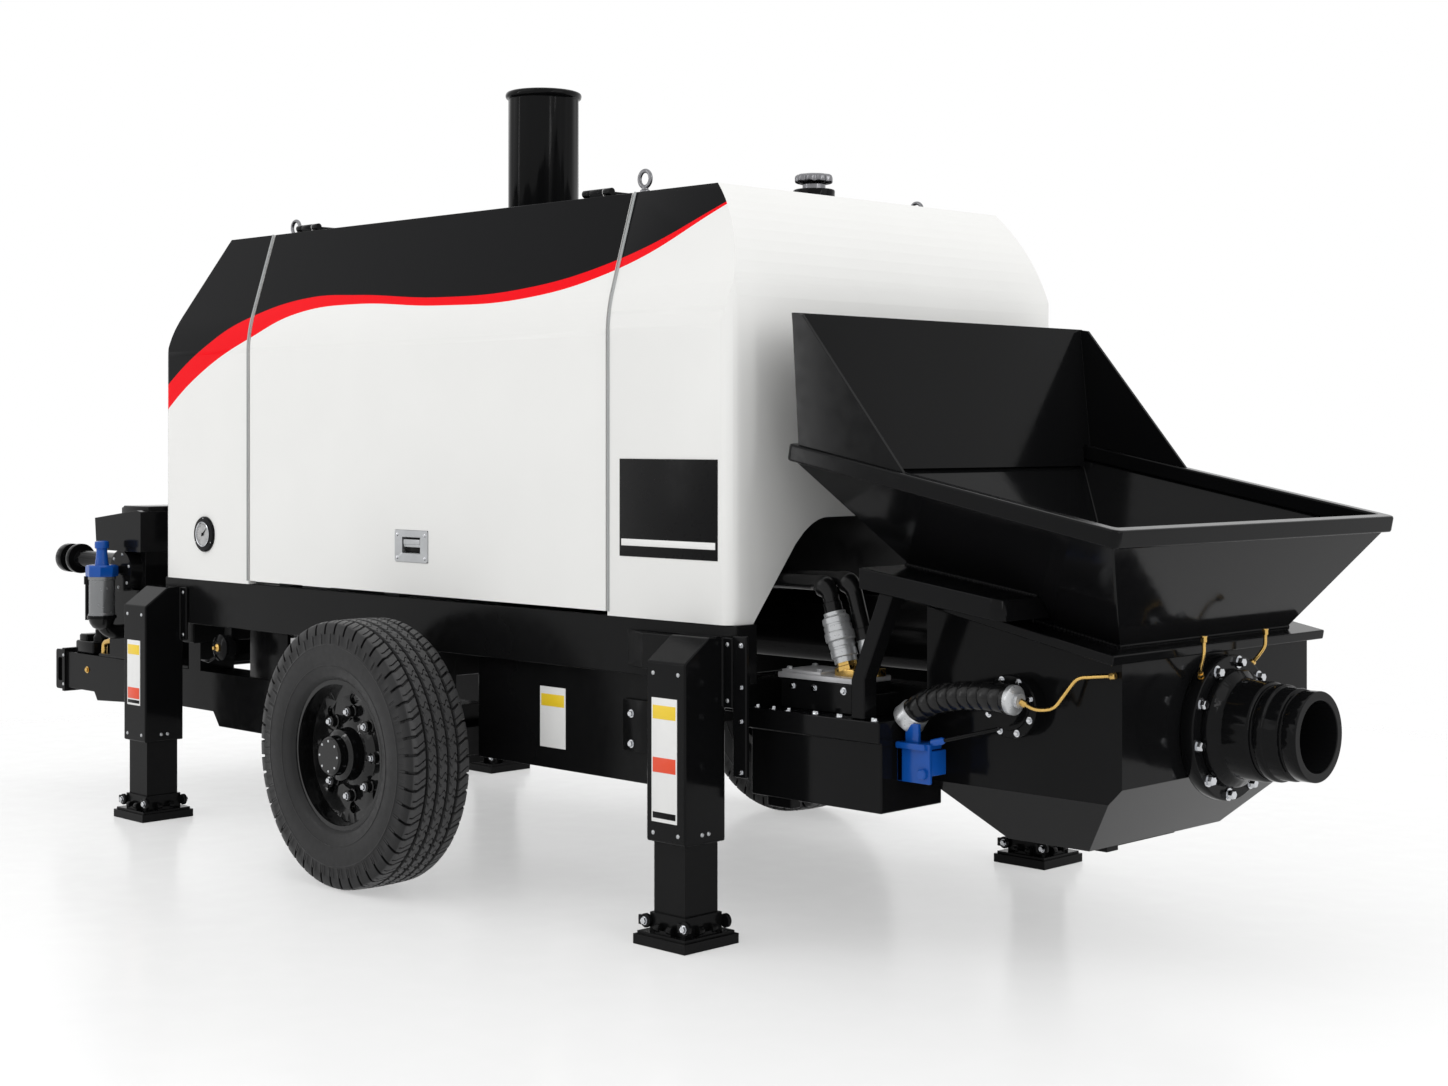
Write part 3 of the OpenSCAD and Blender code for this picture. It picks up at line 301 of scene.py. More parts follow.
trimGrey = finish("trimGrey", (0.3, 0.31, 0.31), 0.35, spread=0.05, bump=0.03, Metallic=0.3)

treadColors = {"wall": (0.009, 0.009, 0.0095), "crown": (0.05, 0.05, 0.051),
               "wallAndShadeBelow": 0.012, "crownGreyAbove": 0.005}  # depths under the tyre's radius


def treadLook(axle, radius):  # rubber, lighter grey on the tread's crown and dark on the walls, with painted shade in its cuts
    look = surfaceLook("tyreRubber", treadColors["wall"], 0.42, spread=0.2, roughSpread=0.08, bump=0.2,
                       bumpScale=700, Specular_IOR_Level=0.24)
    shift = look.add("ShaderNodeMapping")
    shift.inputs["Location"].default_value = (-axle[0], 0, -axle[1])
    shift.inputs["Scale"].default_value = (1, 0, 1)  # leaves the distance from the axle
    look.join(look.place, shift.inputs["Vector"])
    reach = look.add("ShaderNodeVectorMath", operation="LENGTH")
    look.join(shift.outputs[0], reach.inputs[0])
    # below the crown the walls' dark colour also fills the cuts: painted shade in the grooves
    crown = look.ramp(reach.outputs["Value"], radius - treadColors["wallAndShadeBelow"],
                      radius - treadColors["crownGreyAbove"], 0.0, 1.0)
    wall = look.shader.inputs["Base Color"].links[0].from_socket
    look.join(look.mix(crown, wall, treadColors["crown"]), look.shader.inputs["Base Color"])
    return look.material


tyreLow, tyreHigh = nodeBox("tyre_left")
axlePlace = (tyreLow + tyreHigh) / 2
tyreRadius = (tyreHigh[2] - tyreLow[2]) / 2
tyreRubber = treadLook((axlePlace[0], axlePlace[2]), tyreRadius)
print("materials ready")

# Hood paint: black above a red wave above white; the wave's two edges are curves of height over length
livery = {
    "white": (0.765, 0.765, 0.75), "red": (0.82, 0.002, 0.008), "black": (0.0055, 0.0056, 0.0062),
    "xRange": (-1.6, 1.3), "zRange": (1.3, 2.1), "rearFacing": 0.4,
    "upperEdge": [(-1.6, 1.52), (-1.32, 1.67), (-1.06, 1.762), (-0.72, 1.816), (-0.45, 1.812), (0.0, 1.784),
                  (0.385, 1.79), (0.754, 1.845), (1.176, 1.987), (1.3, 2.04)],
    "lowerEdge": [(-1.6, 1.43), (-1.32, 1.59), (-1.04, 1.69), (-0.74, 1.77), (-0.45, 1.782), (0.0, 1.758),
                  (0.396, 1.76), (0.756, 1.815), (1.179, 1.979), (1.3, 2.032)],
}


def liveryLook():
    look = surfaceLook("hoodPaint", livery["white"], 0.14, spread=0.012, roughSpread=0.03, grain=30,
                       bump=0.04, bumpScale=240, Specular_IOR_Level=0.05)
    split = look.add("ShaderNodeSeparateXYZ")
    look.join(look.place, split.inputs[0])
    along = look.ramp(split.outputs["X"], *livery["xRange"], 0.0, 1.0)

    def above(edge):  # 1 where the point lies over the edge curve
        curve = look.add("ShaderNodeFloatCurve")
        knots = curve.mapping.curves[0].points
        place = lambda p: [(p[0] - livery["xRange"][0]) / np.ptp(livery["xRange"]),
                           (p[1] - livery["zRange"][0]) / np.ptp(livery["zRange"])]
        knots[0].location, knots[1].location = place(edge[0]), place(edge[-1])
        for p in edge[1:-1]:
            knots.new(*place(p))
        curve.mapping.update()
        look.join(along, curve.inputs["Value"])
        height = look.ramp(curve.outputs[0], 0.0, 1.0, *livery["zRange"])
        return look.math("GREATER_THAN", split.outputs["Z"], height)

    facing = look.add("ShaderNodeSeparateXYZ")
    look.join(look.add("ShaderNodeTexCoord").outputs["Normal"], facing.inputs[0])
    painted = look.math("LESS_THAN", facing.outputs["X"], livery["rearFacing"])  # the rear face stays white
    whiteLink = look.shader.inputs["Base Color"].links[0].from_socket
    red = look.mix(look.math("MULTIPLY", painted, above(livery["lowerEdge"])), whiteLink, livery["red"])
    dark = look.math("MULTIPLY", painted, above(livery["upperEdge"]))
    look.join(look.mix(dark, red, livery["black"]), look.shader.inputs["Base Color"])
    return look.material


hoodPaint = liveryLook()
print("hood paint ready")

# CAD nodes keep their shape and get a finish and softened edges
nodeLooks = [
    (blackPaint, ["front_unit", "leg_casings", "stack", "hopper_rim", "hopper_funnel", "hopper_guard",
                  "hopper_flange", "hopper_box", "hopper_ledges", "side_boxes", "valve_block",
                  "outlet_flange", "outlet_pipe", "cleanout_door", "door_hinges"]),
    (chassisPaint, ["rail_left", "rail_right", "cross_members", "hopper_arms", "skirts", "axle", "tow_left",
                    "tow_right", "brake_valve", "front_deck", "leg_front_left", "leg_front_right",
                    "leg_rear_left", "leg_rear_right", "front_grille", "oil_tank", "pump_kit"]),
    (hoodPaint, ["hood_front", "hood_rear", "hood_roof", "door_left", "door_right"]),
    (castIron, ["engine"]),
    (wornSteel, ["swing_tube", "agitator_left", "agitator_right"]),
    (rimPaint, ["rim_left", "rim_right"]),
]
edgeSoft = {"width": 0.004, "wideWidth": 0.006,
            "wide": ("leg_casings", "hopper_rim", "hopper_box", "front_unit"),
            "angle": 32, "segments": 2, "weld": 0.00005, "flatAngle": 0.5}


def softenEdges(obj, width):
    weld = obj.modifiers.new("weld", "WELD")
    weld.merge_threshold = edgeSoft["weld"]
    flat = obj.modifiers.new("flat", "DECIMATE")
    flat.decimate_type = "DISSOLVE"
    flat.angle_limit = math.radians(edgeSoft["flatAngle"])
    bevel = obj.modifiers.new("bevel", "BEVEL")
    bevel.width = width
    bevel.segments = edgeSoft["segments"]
    bevel.limit_method = "ANGLE"
    bevel.angle_limit = math.radians(edgeSoft["angle"])
    bevel.miter_outer = "MITER_ARC"
    bevel.harden_normals = True


for material, names in nodeLooks:
    for name in names:
        node = cadNodes[name]
        node.data.materials.clear()
        node.data.materials.append(material)
        softenEdges(node, edgeSoft["wideWidth" if name in edgeSoft["wide"] else "width"])
print("CAD nodes finished")

# Wheels: tyres with cut treads, black sleeves with bright nuts, and small cap bolts
tyreForm = {
    "pitches": 48, "treadHalf": 0.088, "grooves": (-0.056, -0.019, 0.019, 0.056), "grooveHalf": 0.006,
    "grooveDepth": 0.0115, "floorShare": 0.7, "slotDepth": 0.0095, "sipeDepth": 0.0075, "notchDepth": 0.006,
    "notchFrom": 0.28, "serration": 0.0013, "crown": 0.003, "wave": 0.17, "lean": 0.3, "ribColumns": 6,
    "steps": (0.0, 0.015, 0.165, 0.18, 0.3, 0.44, 0.455, 0.525, 0.54, 0.75),  # places within one pitch
    "wide": (0.01, 0.17), "narrow": (0.45, 0.53),  # slots and sipes within one pitch
    "shoulderDrop": -0.037, "shoulderFade": 0.004, "serrated": (-0.066, -0.041),
    "side": ((-0.007, 0.098), (-0.016, 0.1025), (-0.024, 0.105), (-0.036, 0.1072), (-0.041, 0.1078),
             (-0.052, 0.1086), (-0.066, 0.1094), (-0.071, 0.1096), (-0.0725, 0.1106), (-0.0745, 0.1106),
             (-0.076, 0.1098), (-0.095, 0.11), (-0.115, 0.1096), (-0.131, 0.1072), (-0.1325, 0.1082),
             (-0.1345, 0.1082), (-0.136, 0.1066), (-0.15, 0.103), (-0.1635, 0.1), (-0.17, 0.096),
             (-0.1775, 0.0858)),
}


def tyreShape(place):
    # a section of ribs, grooves and walls turned about the axle; slots sink along its normal in each pitch
    form = tyreForm
    cuts, lip = np.array(form["grooves"]), form["grooveHalf"]
    half, columns = form["treadHalf"], form["ribColumns"]
    edges = np.concatenate([[-half], np.stack([cuts - lip, cuts + lip], 1).ravel(), [half]]).reshape(-1, 2)
    ribs = np.linspace(edges[:, 0], edges[:, 1], columns, axis=1)
    floorHalf = form["floorShare"] * lip
    floors = np.concatenate([np.stack([cuts - floorHalf, cuts + floorHalf], 1), np.full((1, 2), np.nan)])
    tread = np.concatenate([ribs, floors], 1).ravel()[:-2]
    ribIndex = np.repeat(np.arange(len(ribs)), columns + 2)[:-2]
    isFloor = np.tile(np.arange(columns + 2), len(ribs))[:-2] >= columns
    drop, wall = np.array(form["side"]).T
    across = np.concatenate([-wall[::-1], tread, wall])
    smooth = tyreRadius + np.concatenate([drop[::-1], -form["crown"] * (tread / half) ** 2, drop])
    normal = np.stack([-np.gradient(smooth), np.gradient(across)], -1)
    normal /= np.linalg.norm(normal, axis=1)[:, None]
    fill = lambda inner, side: np.concatenate([side[::-1], inner, side])
    outer = (ribIndex == 0) | (ribIndex == len(ribs) - 1)
    middle = edges.mean(1)[ribIndex]
    width = np.diff(edges, axis=1)[:, 0][ribIndex]
    notch = np.abs(tread - middle) > form["notchFrom"] * width
    fade = np.clip(1 - (form["shoulderDrop"] - drop) / form["shoulderFade"], 0, 1)
    wideCut = fill(np.where(outer, form["slotDepth"], np.where(notch, form["notchDepth"], 0.0)) * ~isFloor,
                   form["slotDepth"] * fade * (drop > form["shoulderDrop"]))
    narrowCut = fill(form["sipeDepth"] * ~isFloor, 0 * drop)
    inBand = (drop >= form["serrated"][0]) & (drop <= form["serrated"][1])
    ridgeCut = fill(0 * tread, form["serration"] * inBand)
    floorCut = fill(form["grooveDepth"] * isFloor, 0 * drop)
    wave = form["wave"] * np.sin(2 * np.pi * (tread - middle) / width) * ~outer * ~isFloor
    lean = form["lean"] * np.clip((np.abs(tread) - cuts[-1] - lip) / (half - cuts[-1] - lip), 0, 1)
    skew = fill(wave + lean * np.sign(tread), np.full(len(drop), form["lean"]))
    skew[:len(drop)] *= -1
    step = np.tile(form["steps"], form["pitches"])
    turn = np.repeat(np.arange(form["pitches"]), len(form["steps"])) + step
    inside = lambda span: ((step > span[0]) & (step < span[1]))[:, None]
    sink = np.maximum(floorCut, inside(form["wide"]) * wideCut + inside(form["narrow"]) * narrowCut)
    sink = sink + (np.arange(len(step)) % 2)[:, None] * ridgeCut
    sink, turn = np.concatenate([sink, sink[:1]]), np.concatenate([turn, [form["pitches"]]])
    angle = (turn[:, None] + skew) * 2 * np.pi / form["pitches"]
    reach = smooth - sink * normal[:, 1]
    points = np.stack([reach * np.cos(angle), across - sink * normal[:, 0], reach * np.sin(angle)], -1)
    return gridShape(np.asarray(place) + points)


def boltShape(radius, height, washer=1.5):  # a six-sided head with a chamfer on a round washer
    head = lathe([(0, 0.1 * height), (radius, 0.1 * height), (radius, 0.85 * height), (0.82 * radius, height),
                  (0, height)], (0, 0, 0), (0, 0, 1), 6)
    ring = lathe([(0, 0), (washer * radius, 0), (washer * radius, 0.18 * height), (0, 0.18 * height)],
                 (0, 0, 0), (0, 0, 1), 16)
    return joinShapes([ring, head])


def screwShape(radius):  # a low dome
    angle = np.linspace(0, np.pi / 2, 5)
    dome = np.stack([radius * np.cos(angle), 0.55 * radius * np.sin(angle)], -1)
    return lathe(dome, (0, 0, 0), (0, 0, 1), 14)


def circlePlaces(middle, radius, count, out, side, start=0.0):  # points round an axis along Y
    angle = start + np.arange(count) * 2 * np.pi / count
    ring = np.stack([radius * np.cos(angle), np.full(count, side * out), radius * np.sin(angle)], -1)
    return np.asarray(middle) + ring


sleeveForm = {"radius": 0.0165, "length": 0.024, "foot": 0.0198, "mouth": 0.014025}
nutForm = {"count": 8, "circle": 0.126, "face": 0.0312, "radius": 0.009, "height": 0.009, "washer": 1.2}
capBolts = {"count": 8, "circle": 0.045, "face": 0.1205, "radius": 0.004}


def nutSleeve():  # a turned sleeve with a wide foot and an eased mouth
    radius, length, foot, mouth = (sleeveForm[key] for key in ("radius", "length", "foot", "mouth"))
    return lathe([(foot, 0), (foot, 0.004), (radius, 0.006), (radius, length - 0.002), (mouth, length),
                  (0, length)], (0, 0, 0), (0, 0, 1), 18)


for sideName, side in (("left", -1), ("right", 1)):
    hubPlace = axlePlace * np.array([1, -side, 1])
    wheelBody = "wheel_" + sideName
    out = np.array([0, side, 0])
    tyre = addPiece("tyreTread_" + sideName, tyreShape(hubPlace), tyreRubber, wheelBody, 28)
    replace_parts(tyre, "tyre_" + sideName)
    nutPlaces = circlePlaces(hubPlace, nutForm["circle"], nutForm["count"], nutForm["face"], side)
    sleeves = placeMany(nutSleeve(), nutPlaces, out)
    addPiece("nutSleeves_" + sideName, sleeves, rimPaint, wheelBody)
    nut = boltShape(nutForm["radius"], nutForm["height"], nutForm["washer"])
    nuts = placeMany(nut, nutPlaces + sleeveForm["length"] * out, out)
    addPiece("wheelNuts_" + sideName, nuts, chrome, wheelBody)
    boltPlaces = circlePlaces(hubPlace, capBolts["circle"], capBolts["count"], capBolts["face"], side)
    bolts = placeMany(screwShape(capBolts["radius"]), boltPlaces, out)
    addPiece("capBolts_" + sideName, bolts, steel, wheelBody)
print("wheels done")

# Hood: seam trims, black seals whose colour also paints the seam gaps' shade, gauge, blank plate, door latches
frontHigh = nodeBox("hood_front")[1]
rearLow, rearHigh = nodeBox("hood_rear")
hoodSide = {"half": rearHigh[1], "kneeZ": 1.64, "kneeRadius": 0.45, "lean": math.radians(16.7),
            "topZ": rearHigh[2], "trimZ": rearLow[2] + 0.012}


def hoodEdge(x, side, out):
    # the hood's side outline at one x: upright to the knee, an arc round the knee, then straight to the roof
    arc = np.linspace(0, hoodSide["lean"], 9)
    radius = hoodSide["kneeRadius"] + out
    y = np.append(hoodSide["half"] + out, hoodSide["half"] - hoodSide["kneeRadius"] + radius * np.cos(arc))
    z = np.append(hoodSide["trimZ"], hoodSide["kneeZ"] + radius * np.sin(arc))
    rise = hoodSide["topZ"] + out - z[-1]
    y, z = np.append(y, y[-1] - rise * math.tan(hoodSide["lean"])), np.append(z, hoodSide["topZ"] + out)
    return np.stack([np.full(len(y), x), side * y, z], -1)


trimForm = {"radius": 0.0042, "out": 0.0004, "inset": 0.0045}
sealForm = {"radius": 0.0036, "out": -0.008, "inset": -0.004}


def seamLines(form):  # thin tubes along the seams before and behind the doors
    seams = (frontHigh[0] - form["inset"], rearLow[0] + form["inset"])
    return joinShapes([pathTube(hoodEdge(x, side, form["out"]), form["radius"], 8)
                       for side in (-1, 1) for x in seams])


addPiece("seamTrims", seamLines(trimForm), trimGrey, "chassis")
# rubber seals set back in the seam gaps; their black also stands in for the gaps' shade
addPiece("seamSealsGapShade", seamLines(sealForm), sealRubberGapShade, "chassis")

gaugeLow, gaugeHigh = nodeBox("gauge")
gaugeForm = {"middle": (gaugeLow + gaugeHigh) / 2 * np.array([1, 0, 1]) + np.array([0, gaugeHigh[1], 0]),
             "radius": (gaugeHigh[0] - gaugeLow[0]) / 2, "dial": 0.0395, "dialZ": 0.0095, "needle": 0.033,
             "needleZ": 0.0118, "needleAngle": math.radians(42), "ticks": 27, "tickEdge": 0.003,
             "shortTick": 0.004, "longTick": 0.008, "screws": 3, "screw": 0.0032, "screwCircle": 0.0555,
             "screwFace": 0.0085}


def gaugePieces():
    at, radius, dial, dialZ = (gaugeForm[key] for key in ("middle", "radius", "dial", "dialZ"))
    out = np.array([0, -1, 0])
    bezel = lathe([(0, 0), (radius, 0), (radius, 0.006), (radius - 0.003, 0.0095), (dial + 0.005, 0.011),
                   (dial + 0.0045, 0.0125), (dial + 0.0035, 0.006), (0, 0.006)], at, out, 72)
    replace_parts(addPiece("gaugeBezel", bezel, blackPaint, "chassis"), "gauge")
    ring = lathe([(dial + 0.0044, 0.008), (dial + 0.004, 0.0135), (dial + 0.002, 0.0145), (dial, 0.0125),
                  (dial - 0.0005, 0.008)], at, out, 72)
    addPiece("gaugeRing", ring, chrome, "chassis")
    disc = lathe([(0, dialZ), (dial + 0.001, dialZ), (dial + 0.001, 0.006), (0, 0.006)], at, out, 64)
    addPiece("gaugeDial", disc, dialFace, "chassis")
    turn = gaugeForm["needleAngle"]
    needleWay = gaugeForm["needle"] * np.array([math.cos(turn), 0, math.sin(turn)])
    needle = pathTube(at + gaugeForm["needleZ"] * out + np.outer([-0.3, 0.0, 1.0], needleWay),
                      np.array([0.0016, 0.002, 0.0006]), 8)
    cap = lathe([(0.0055, dialZ), (0.0055, 0.013), (0.004, 0.0142), (0, 0.0142)], at, out, 24)
    angle = np.radians(np.linspace(-45, 225, gaugeForm["ticks"]))
    spokes = np.stack([np.cos(angle), 0 * angle, np.sin(angle)], -1)
    lengths = np.where(np.arange(gaugeForm["ticks"]) % 5 == 1, gaugeForm["longTick"], gaugeForm["shortTick"])
    edge = dial - gaugeForm["tickEdge"]
    marks = [pathTube(at + (dialZ + 0.0001) * out + np.outer([edge, edge - length], way), 0.0005, 4)
             for way, length in zip(spokes, lengths)]
    addPiece("gaugeMarks", joinShapes([needle, cap] + marks), plateBlack, "chassis")
    spots = circlePlaces(at, gaugeForm["screwCircle"], gaugeForm["screws"], gaugeForm["screwFace"], -1,
                         math.pi / 2)
    screws = placeMany(screwShape(gaugeForm["screw"]), spots, out)
    addPiece("gaugeScrews", screws, steel, "chassis")


gaugePieces()


def flatPlate(x, z, face, thick, sunk=0.0004, ease=0.45):
    # a thin box with eased edges on a face that looks to -Y
    return roundBox((x[0], face - thick, z[0]), (x[1], face + sunk, z[1]), thick * ease, 3)


plateForm = {"x": np.array([0.855, 1.246]), "z": (1.02, 1.292), "thick": 0.002, "sunk": 0.0005}
lineForm = {"z": (1.05, 1.069), "inset": np.array([0.008, -0.008]), "thick": 0.0004, "sunk": 0.0008,
            "ease": 1.25}
sideFace = -hoodSide["half"]
blankPlate = flatPlate(plateForm["x"], plateForm["z"], sideFace, plateForm["thick"], plateForm["sunk"])
addPiece("blankPlate", blankPlate, plateBlack, "chassis")
plateLine = flatPlate(plateForm["x"] + lineForm["inset"], lineForm["z"], sideFace - plateForm["thick"],
                      lineForm["thick"], lineForm["sunk"], lineForm["ease"])
addPiece("plateLine", plateLine, labelWhite, "chassis")

latchLow, latchHigh = nodeBox("latch_left")
latchForm = {"middle": (latchLow + latchHigh)[[0, 2]] / 2, "half": (latchHigh - latchLow)[[0, 2]] / 2,
             "face": latchLow[1], "corner": 0.008, "window": np.array([0.0465, 0.025]), "rise": 0.003,
             "well": 0.018, "screw": 0.0066, "inset": 0.014}


def roundLoop(middle, half, corner, y):  # a closed rectangle with round corners in an upright plane
    angle = np.linspace(0, np.pi / 2, 6)
    turns = ((1, 1, 0.0), (-1, 1, 0.5), (-1, -1, 1.0), (1, -1, 1.5))
    x = np.concatenate([sx * (half[0] - corner) + corner * np.cos(angle + t * np.pi) for sx, sz, t in turns])
    z = np.concatenate([sz * (half[1] - corner) + corner * np.sin(angle + t * np.pi) for sx, sz, t in turns])
    x, z = np.append(x, x[0]), np.append(z, z[0])
    return np.stack([middle[0] + x, np.full(len(x), y), middle[1] + z], -1)


def latchPieces():  # a frame of loops into a well, painted shade as a black box on its floor, a grip and four screws
    middle, half, face = latchForm["middle"], latchForm["half"], latchForm["face"]
    corner, window = latchForm["corner"], latchForm["window"]
    pane, floor = middle + np.array([0, latchForm["rise"]]), face + latchForm["well"]
    frameRows = [roundLoop(middle, half, corner, face + 0.006),
                 roundLoop(middle, half, corner, face + 0.0012),
                 roundLoop(middle, half - 0.0012, corner - 0.001, face),
                 roundLoop(pane, window + 0.0015, 0.0035, face),
                 roundLoop(pane, window, 0.003, face + 0.0012),
                 roundLoop(pane, window, 0.003, floor),
                 roundLoop(pane, window * 0.01, 0.0002, floor)]
    (left, low), (right, high) = pane - window, pane + window
    # a black box at the well's floor: painted shade in the recess
    well = roundBox((left + 0.001, floor - 0.004, low + 0.001), (right - 0.001, floor - 0.001, high - 0.001),
                    0.001, 3)
    left, right, mid = left + 0.004, right - 0.004, pane[1]
    handle = [roundBox((left, face + 0.002, mid + 0.001), (right, face + 0.012, high - 0.006), 0.003, 4),
              roundBox((left, face + 0.004, mid - 0.006), (right, face + 0.008, mid + 0.004), 0.0015, 3)]
    reach = half - latchForm["inset"]
    spots = [(middle[0] + sx * reach[0], face, middle[1] + sz * reach[1]) for sx in (-1, 1) for sz in (-1, 1)]
    screws = placeMany(screwShape(latchForm["screw"]), spots, (0, -1, 0))
    return gridShape(np.array(frameRows)), well, joinShapes(handle), screws


for sideName in ("left", "right"):
    shapes = latchPieces()
    if sideName == "right":
        shapes = [mirrorShape(shape) for shape in shapes]
    latchFrame, latchWellShade, latchHandle, latchScrews = shapes
    doorBody = "door_" + sideName
    framePiece = addPiece("latchFrame_" + sideName, latchFrame, latchMetal, doorBody)
    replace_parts(framePiece, "latch_" + sideName)
    # the well's black floor box is painted shade
    addPiece("latchWellShade_" + sideName, latchWellShade, plateBlack, doorBody)
    addPiece("latchHandle_" + sideName, latchHandle, latchMetal, doorBody)
    addPiece("latchScrews_" + sideName, latchScrews, chrome, doorBody)
print("hood details done")

# Roof: lifting eyes, filler cap
eyesHigh = nodeBox("lifting_eyes")[1]
eyeForm = {"spots": ((frontHigh[0] - 0.056, eyesHigh[1] - 0.124), (rearLow[0] + 0.028, eyesHigh[1] - 0.014)),
           "ring": 0.023, "wire": 0.0062, "middleZ": hoodSide["topZ"] + 0.0375, "steps": 41,
           "collar": [(0, 0), (0.014, 0), (0.014, 0.005), (0.0105, 0.007), (0.009, 0.013), (0.0105, 0.018),
                      (0, 0.018)]}


def liftingEye(x, y):  # a ring of round wire on a turned shank and a collar
    angle = np.linspace(0, 2 * np.pi, eyeForm["steps"])
    path = np.stack([x + eyeForm["ring"] * np.cos(angle), np.full(len(angle), y),
                     eyeForm["middleZ"] + eyeForm["ring"] * np.sin(angle)], -1)
    collar = lathe(eyeForm["collar"], (x, y, hoodSide["topZ"]), (0, 0, 1), 28)
    return joinShapes([pathTube(path, eyeForm["wire"], 14), collar])


eyeRings = joinShapes([liftingEye(x, side * y) for side in (-1, 1) for x, y in eyeForm["spots"]])
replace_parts(addPiece("eyeRings", eyeRings, eyeSteel, "chassis"), "lifting_eyes")

capLow, capHigh = nodeBox("filler_cap")
capForm = {"lobes": 9, "depth": 0.13, "stepsPerLobe": 16,
           # share of the radius, height, share of the lobes' depth
           "profile": [(0, 0, 0), (0.6, 0, 0), (0.6, 0.015, 0), (0.86, 0.018, 0.7), (0.97, 0.021, 1),
                       (1.0, 0.025, 1), (1.0, 0.036, 1), (0.97, 0.041, 1), (0.88, 0.0445, 0.8),
                       (0.7, 0.046, 0.2), (0.45, 0.047, 0), (0, 0.047, 0)]}


def knurledCap():
    # a turned profile whose radius ripples in lobes with the angle along its grip
    radius, height, grip = np.array(capForm["profile"]).T[:, :, None]
    lobes = capForm["lobes"]
    angle = np.linspace(0, 2 * np.pi, lobes * capForm["stepsPerLobe"] + 1)
    ripple = 1 - capForm["depth"] * grip * (0.5 + 0.5 * np.cos(angle * lobes)) ** 2
    reach = (capHigh[0] - capLow[0]) / 2 * radius * ripple
    middle = (capLow + capHigh) / 2
    return gridShape(np.stack(np.broadcast_arrays(
        middle[0] + reach * np.cos(angle), middle[1] + reach * np.sin(angle), capLow[2] + height), -1))


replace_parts(addPiece("knurledCap", knurledCap(), eyeSteel, "chassis", 50), "filler_cap")
print("roof done")

# Legs: round tabs with bolts at the feet, screws and blank labels on the casings
footForm = {"tab": 0.019, "tabHalf": 0.006, "ease": 0.002, "neckHalf": 0.013, "neckIn": 0.0005,
            "reach": 0.074, "x": 0.076, "z": 0.061, "plateTop": 0.035, "bolt": 0.0095,
            "boltHeight": 0.009, "washer": 1.2}
legNames = ["leg_front_left", "leg_front_right", "leg_rear_left", "leg_rear_right"]
legPlaces = {name: sum(nodeBox(name)) / 2 * np.array([1, 1, 0]) for name in legNames}


def footLug():  # a round upright tab over the foot plate, made about +Z as the way out from the collar
    radius, half, ease, reach = (footForm[key] for key in ("tab", "tabHalf", "ease", "reach"))
    tab = lathe([(0, -half), (radius - ease, -half), (radius, ease - half), (radius, half - ease),
                 (radius - ease, half), (0, half)], (0, 0, reach), (0, 0, 1), 28)
    across, along = footForm["neckHalf"], half - footForm["neckIn"]
    drop = footForm["z"] - footForm["plateTop"]
    neck = roundBox((-across, 0, reach - along), (across, drop, reach + along), 0.0015, 3)
    return joinShapes([tab, neck])


tabX = np.repeat([-footForm["x"], footForm["x"]], 2)
tabWays = np.tile([[0.0, -1.0, 0.0], [0.0, 1.0, 0.0]], (2, 1))
footBolt = boltShape(footForm["bolt"], footForm["boltHeight"], footForm["washer"])
for name, foot in legPlaces.items():
    tabs = foot + np.stack([tabX, 0 * tabX, np.full(len(tabX), footForm["z"])], -1)
    addPiece("footLugs_" + name, placeMany(footLug(), tabs, tabWays), blackPaint, name)
    heads = tabs + (footForm["reach"] + footForm["tabHalf"]) * tabWays
    addPiece("footBolts_" + name, placeMany(footBolt, heads, tabWays), chrome, name)

casingForm = {"half": 0.075, "screw": 0.0062, "inset": 0.027, "heights": (0.3, 0.725), "rearHalf": 0.012,
              "stripX": 0.094, "stripInset": 0.0123, "stripHeights": (0.65, 0.8)}
casingSpots, casingWays = [], []
for foot in legPlaces.values():
    side, half, heights = np.sign(foot[1]), casingForm["half"], casingForm["heights"]
    across, stripY = half - casingForm["inset"], -side * (half - casingForm["stripInset"])
    spots = [(x, side * half, z) for z in heights for x in (-across, across)]
    spots += [(half, y, heights[0]) for y in (-casingForm["rearHalf"], casingForm["rearHalf"])]
    spots += [(casingForm["stripX"], stripY, z) for z in casingForm["stripHeights"]]
    casingSpots.append(foot + np.array(spots))
    casingWays += [(0, side, 0)] * 4 + [(1, 0, 0)] * 2 + [(0, side, 0)] * 2
casingScrews = placeMany(screwShape(casingForm["screw"]), np.concatenate(casingSpots), casingWays)
addPiece("casingScrews", casingScrews, latchMetal, "chassis")

casingFace = legPlaces["leg_rear_left"][1] - casingForm["half"]
skirtsLow, skirtsHigh = nodeBox("skirts")
labelForms = {
    "legRear": {"middle": (legPlaces["leg_rear_left"][0] - 0.004, 0.495), "size": (0.098, 0.33),
                "face": casingFace,
                "bands": {"yellow": (0.83, 0.94), "orange": (0.4, 0.52), "black": (0.03, 0.08)}},
    "legFront": {"middle": (legPlaces["leg_front_left"][0] - 0.004, 0.518), "size": (0.088, 0.23),
                 "face": casingFace,
                 "bands": {"yellow": (0.78, 0.93), "orange": (0.1, 0.27), "black": (0.03, 0.08)}},
    "skirt": {"middle": (0.5, 0.53), "size": (0.115, 0.178), "face": skirtsLow[1] + 0.014,
              "bands": {"yellow": (0.68, 0.88)}},
}
labelPlate = {"thick": 0.0012, "inset": 0.05, "bandThick": 0.0006, "bandSunk": 0.0002}
bandPaints = {"yellow": labelYellow, "orange": labelOrange, "black": plateBlack}
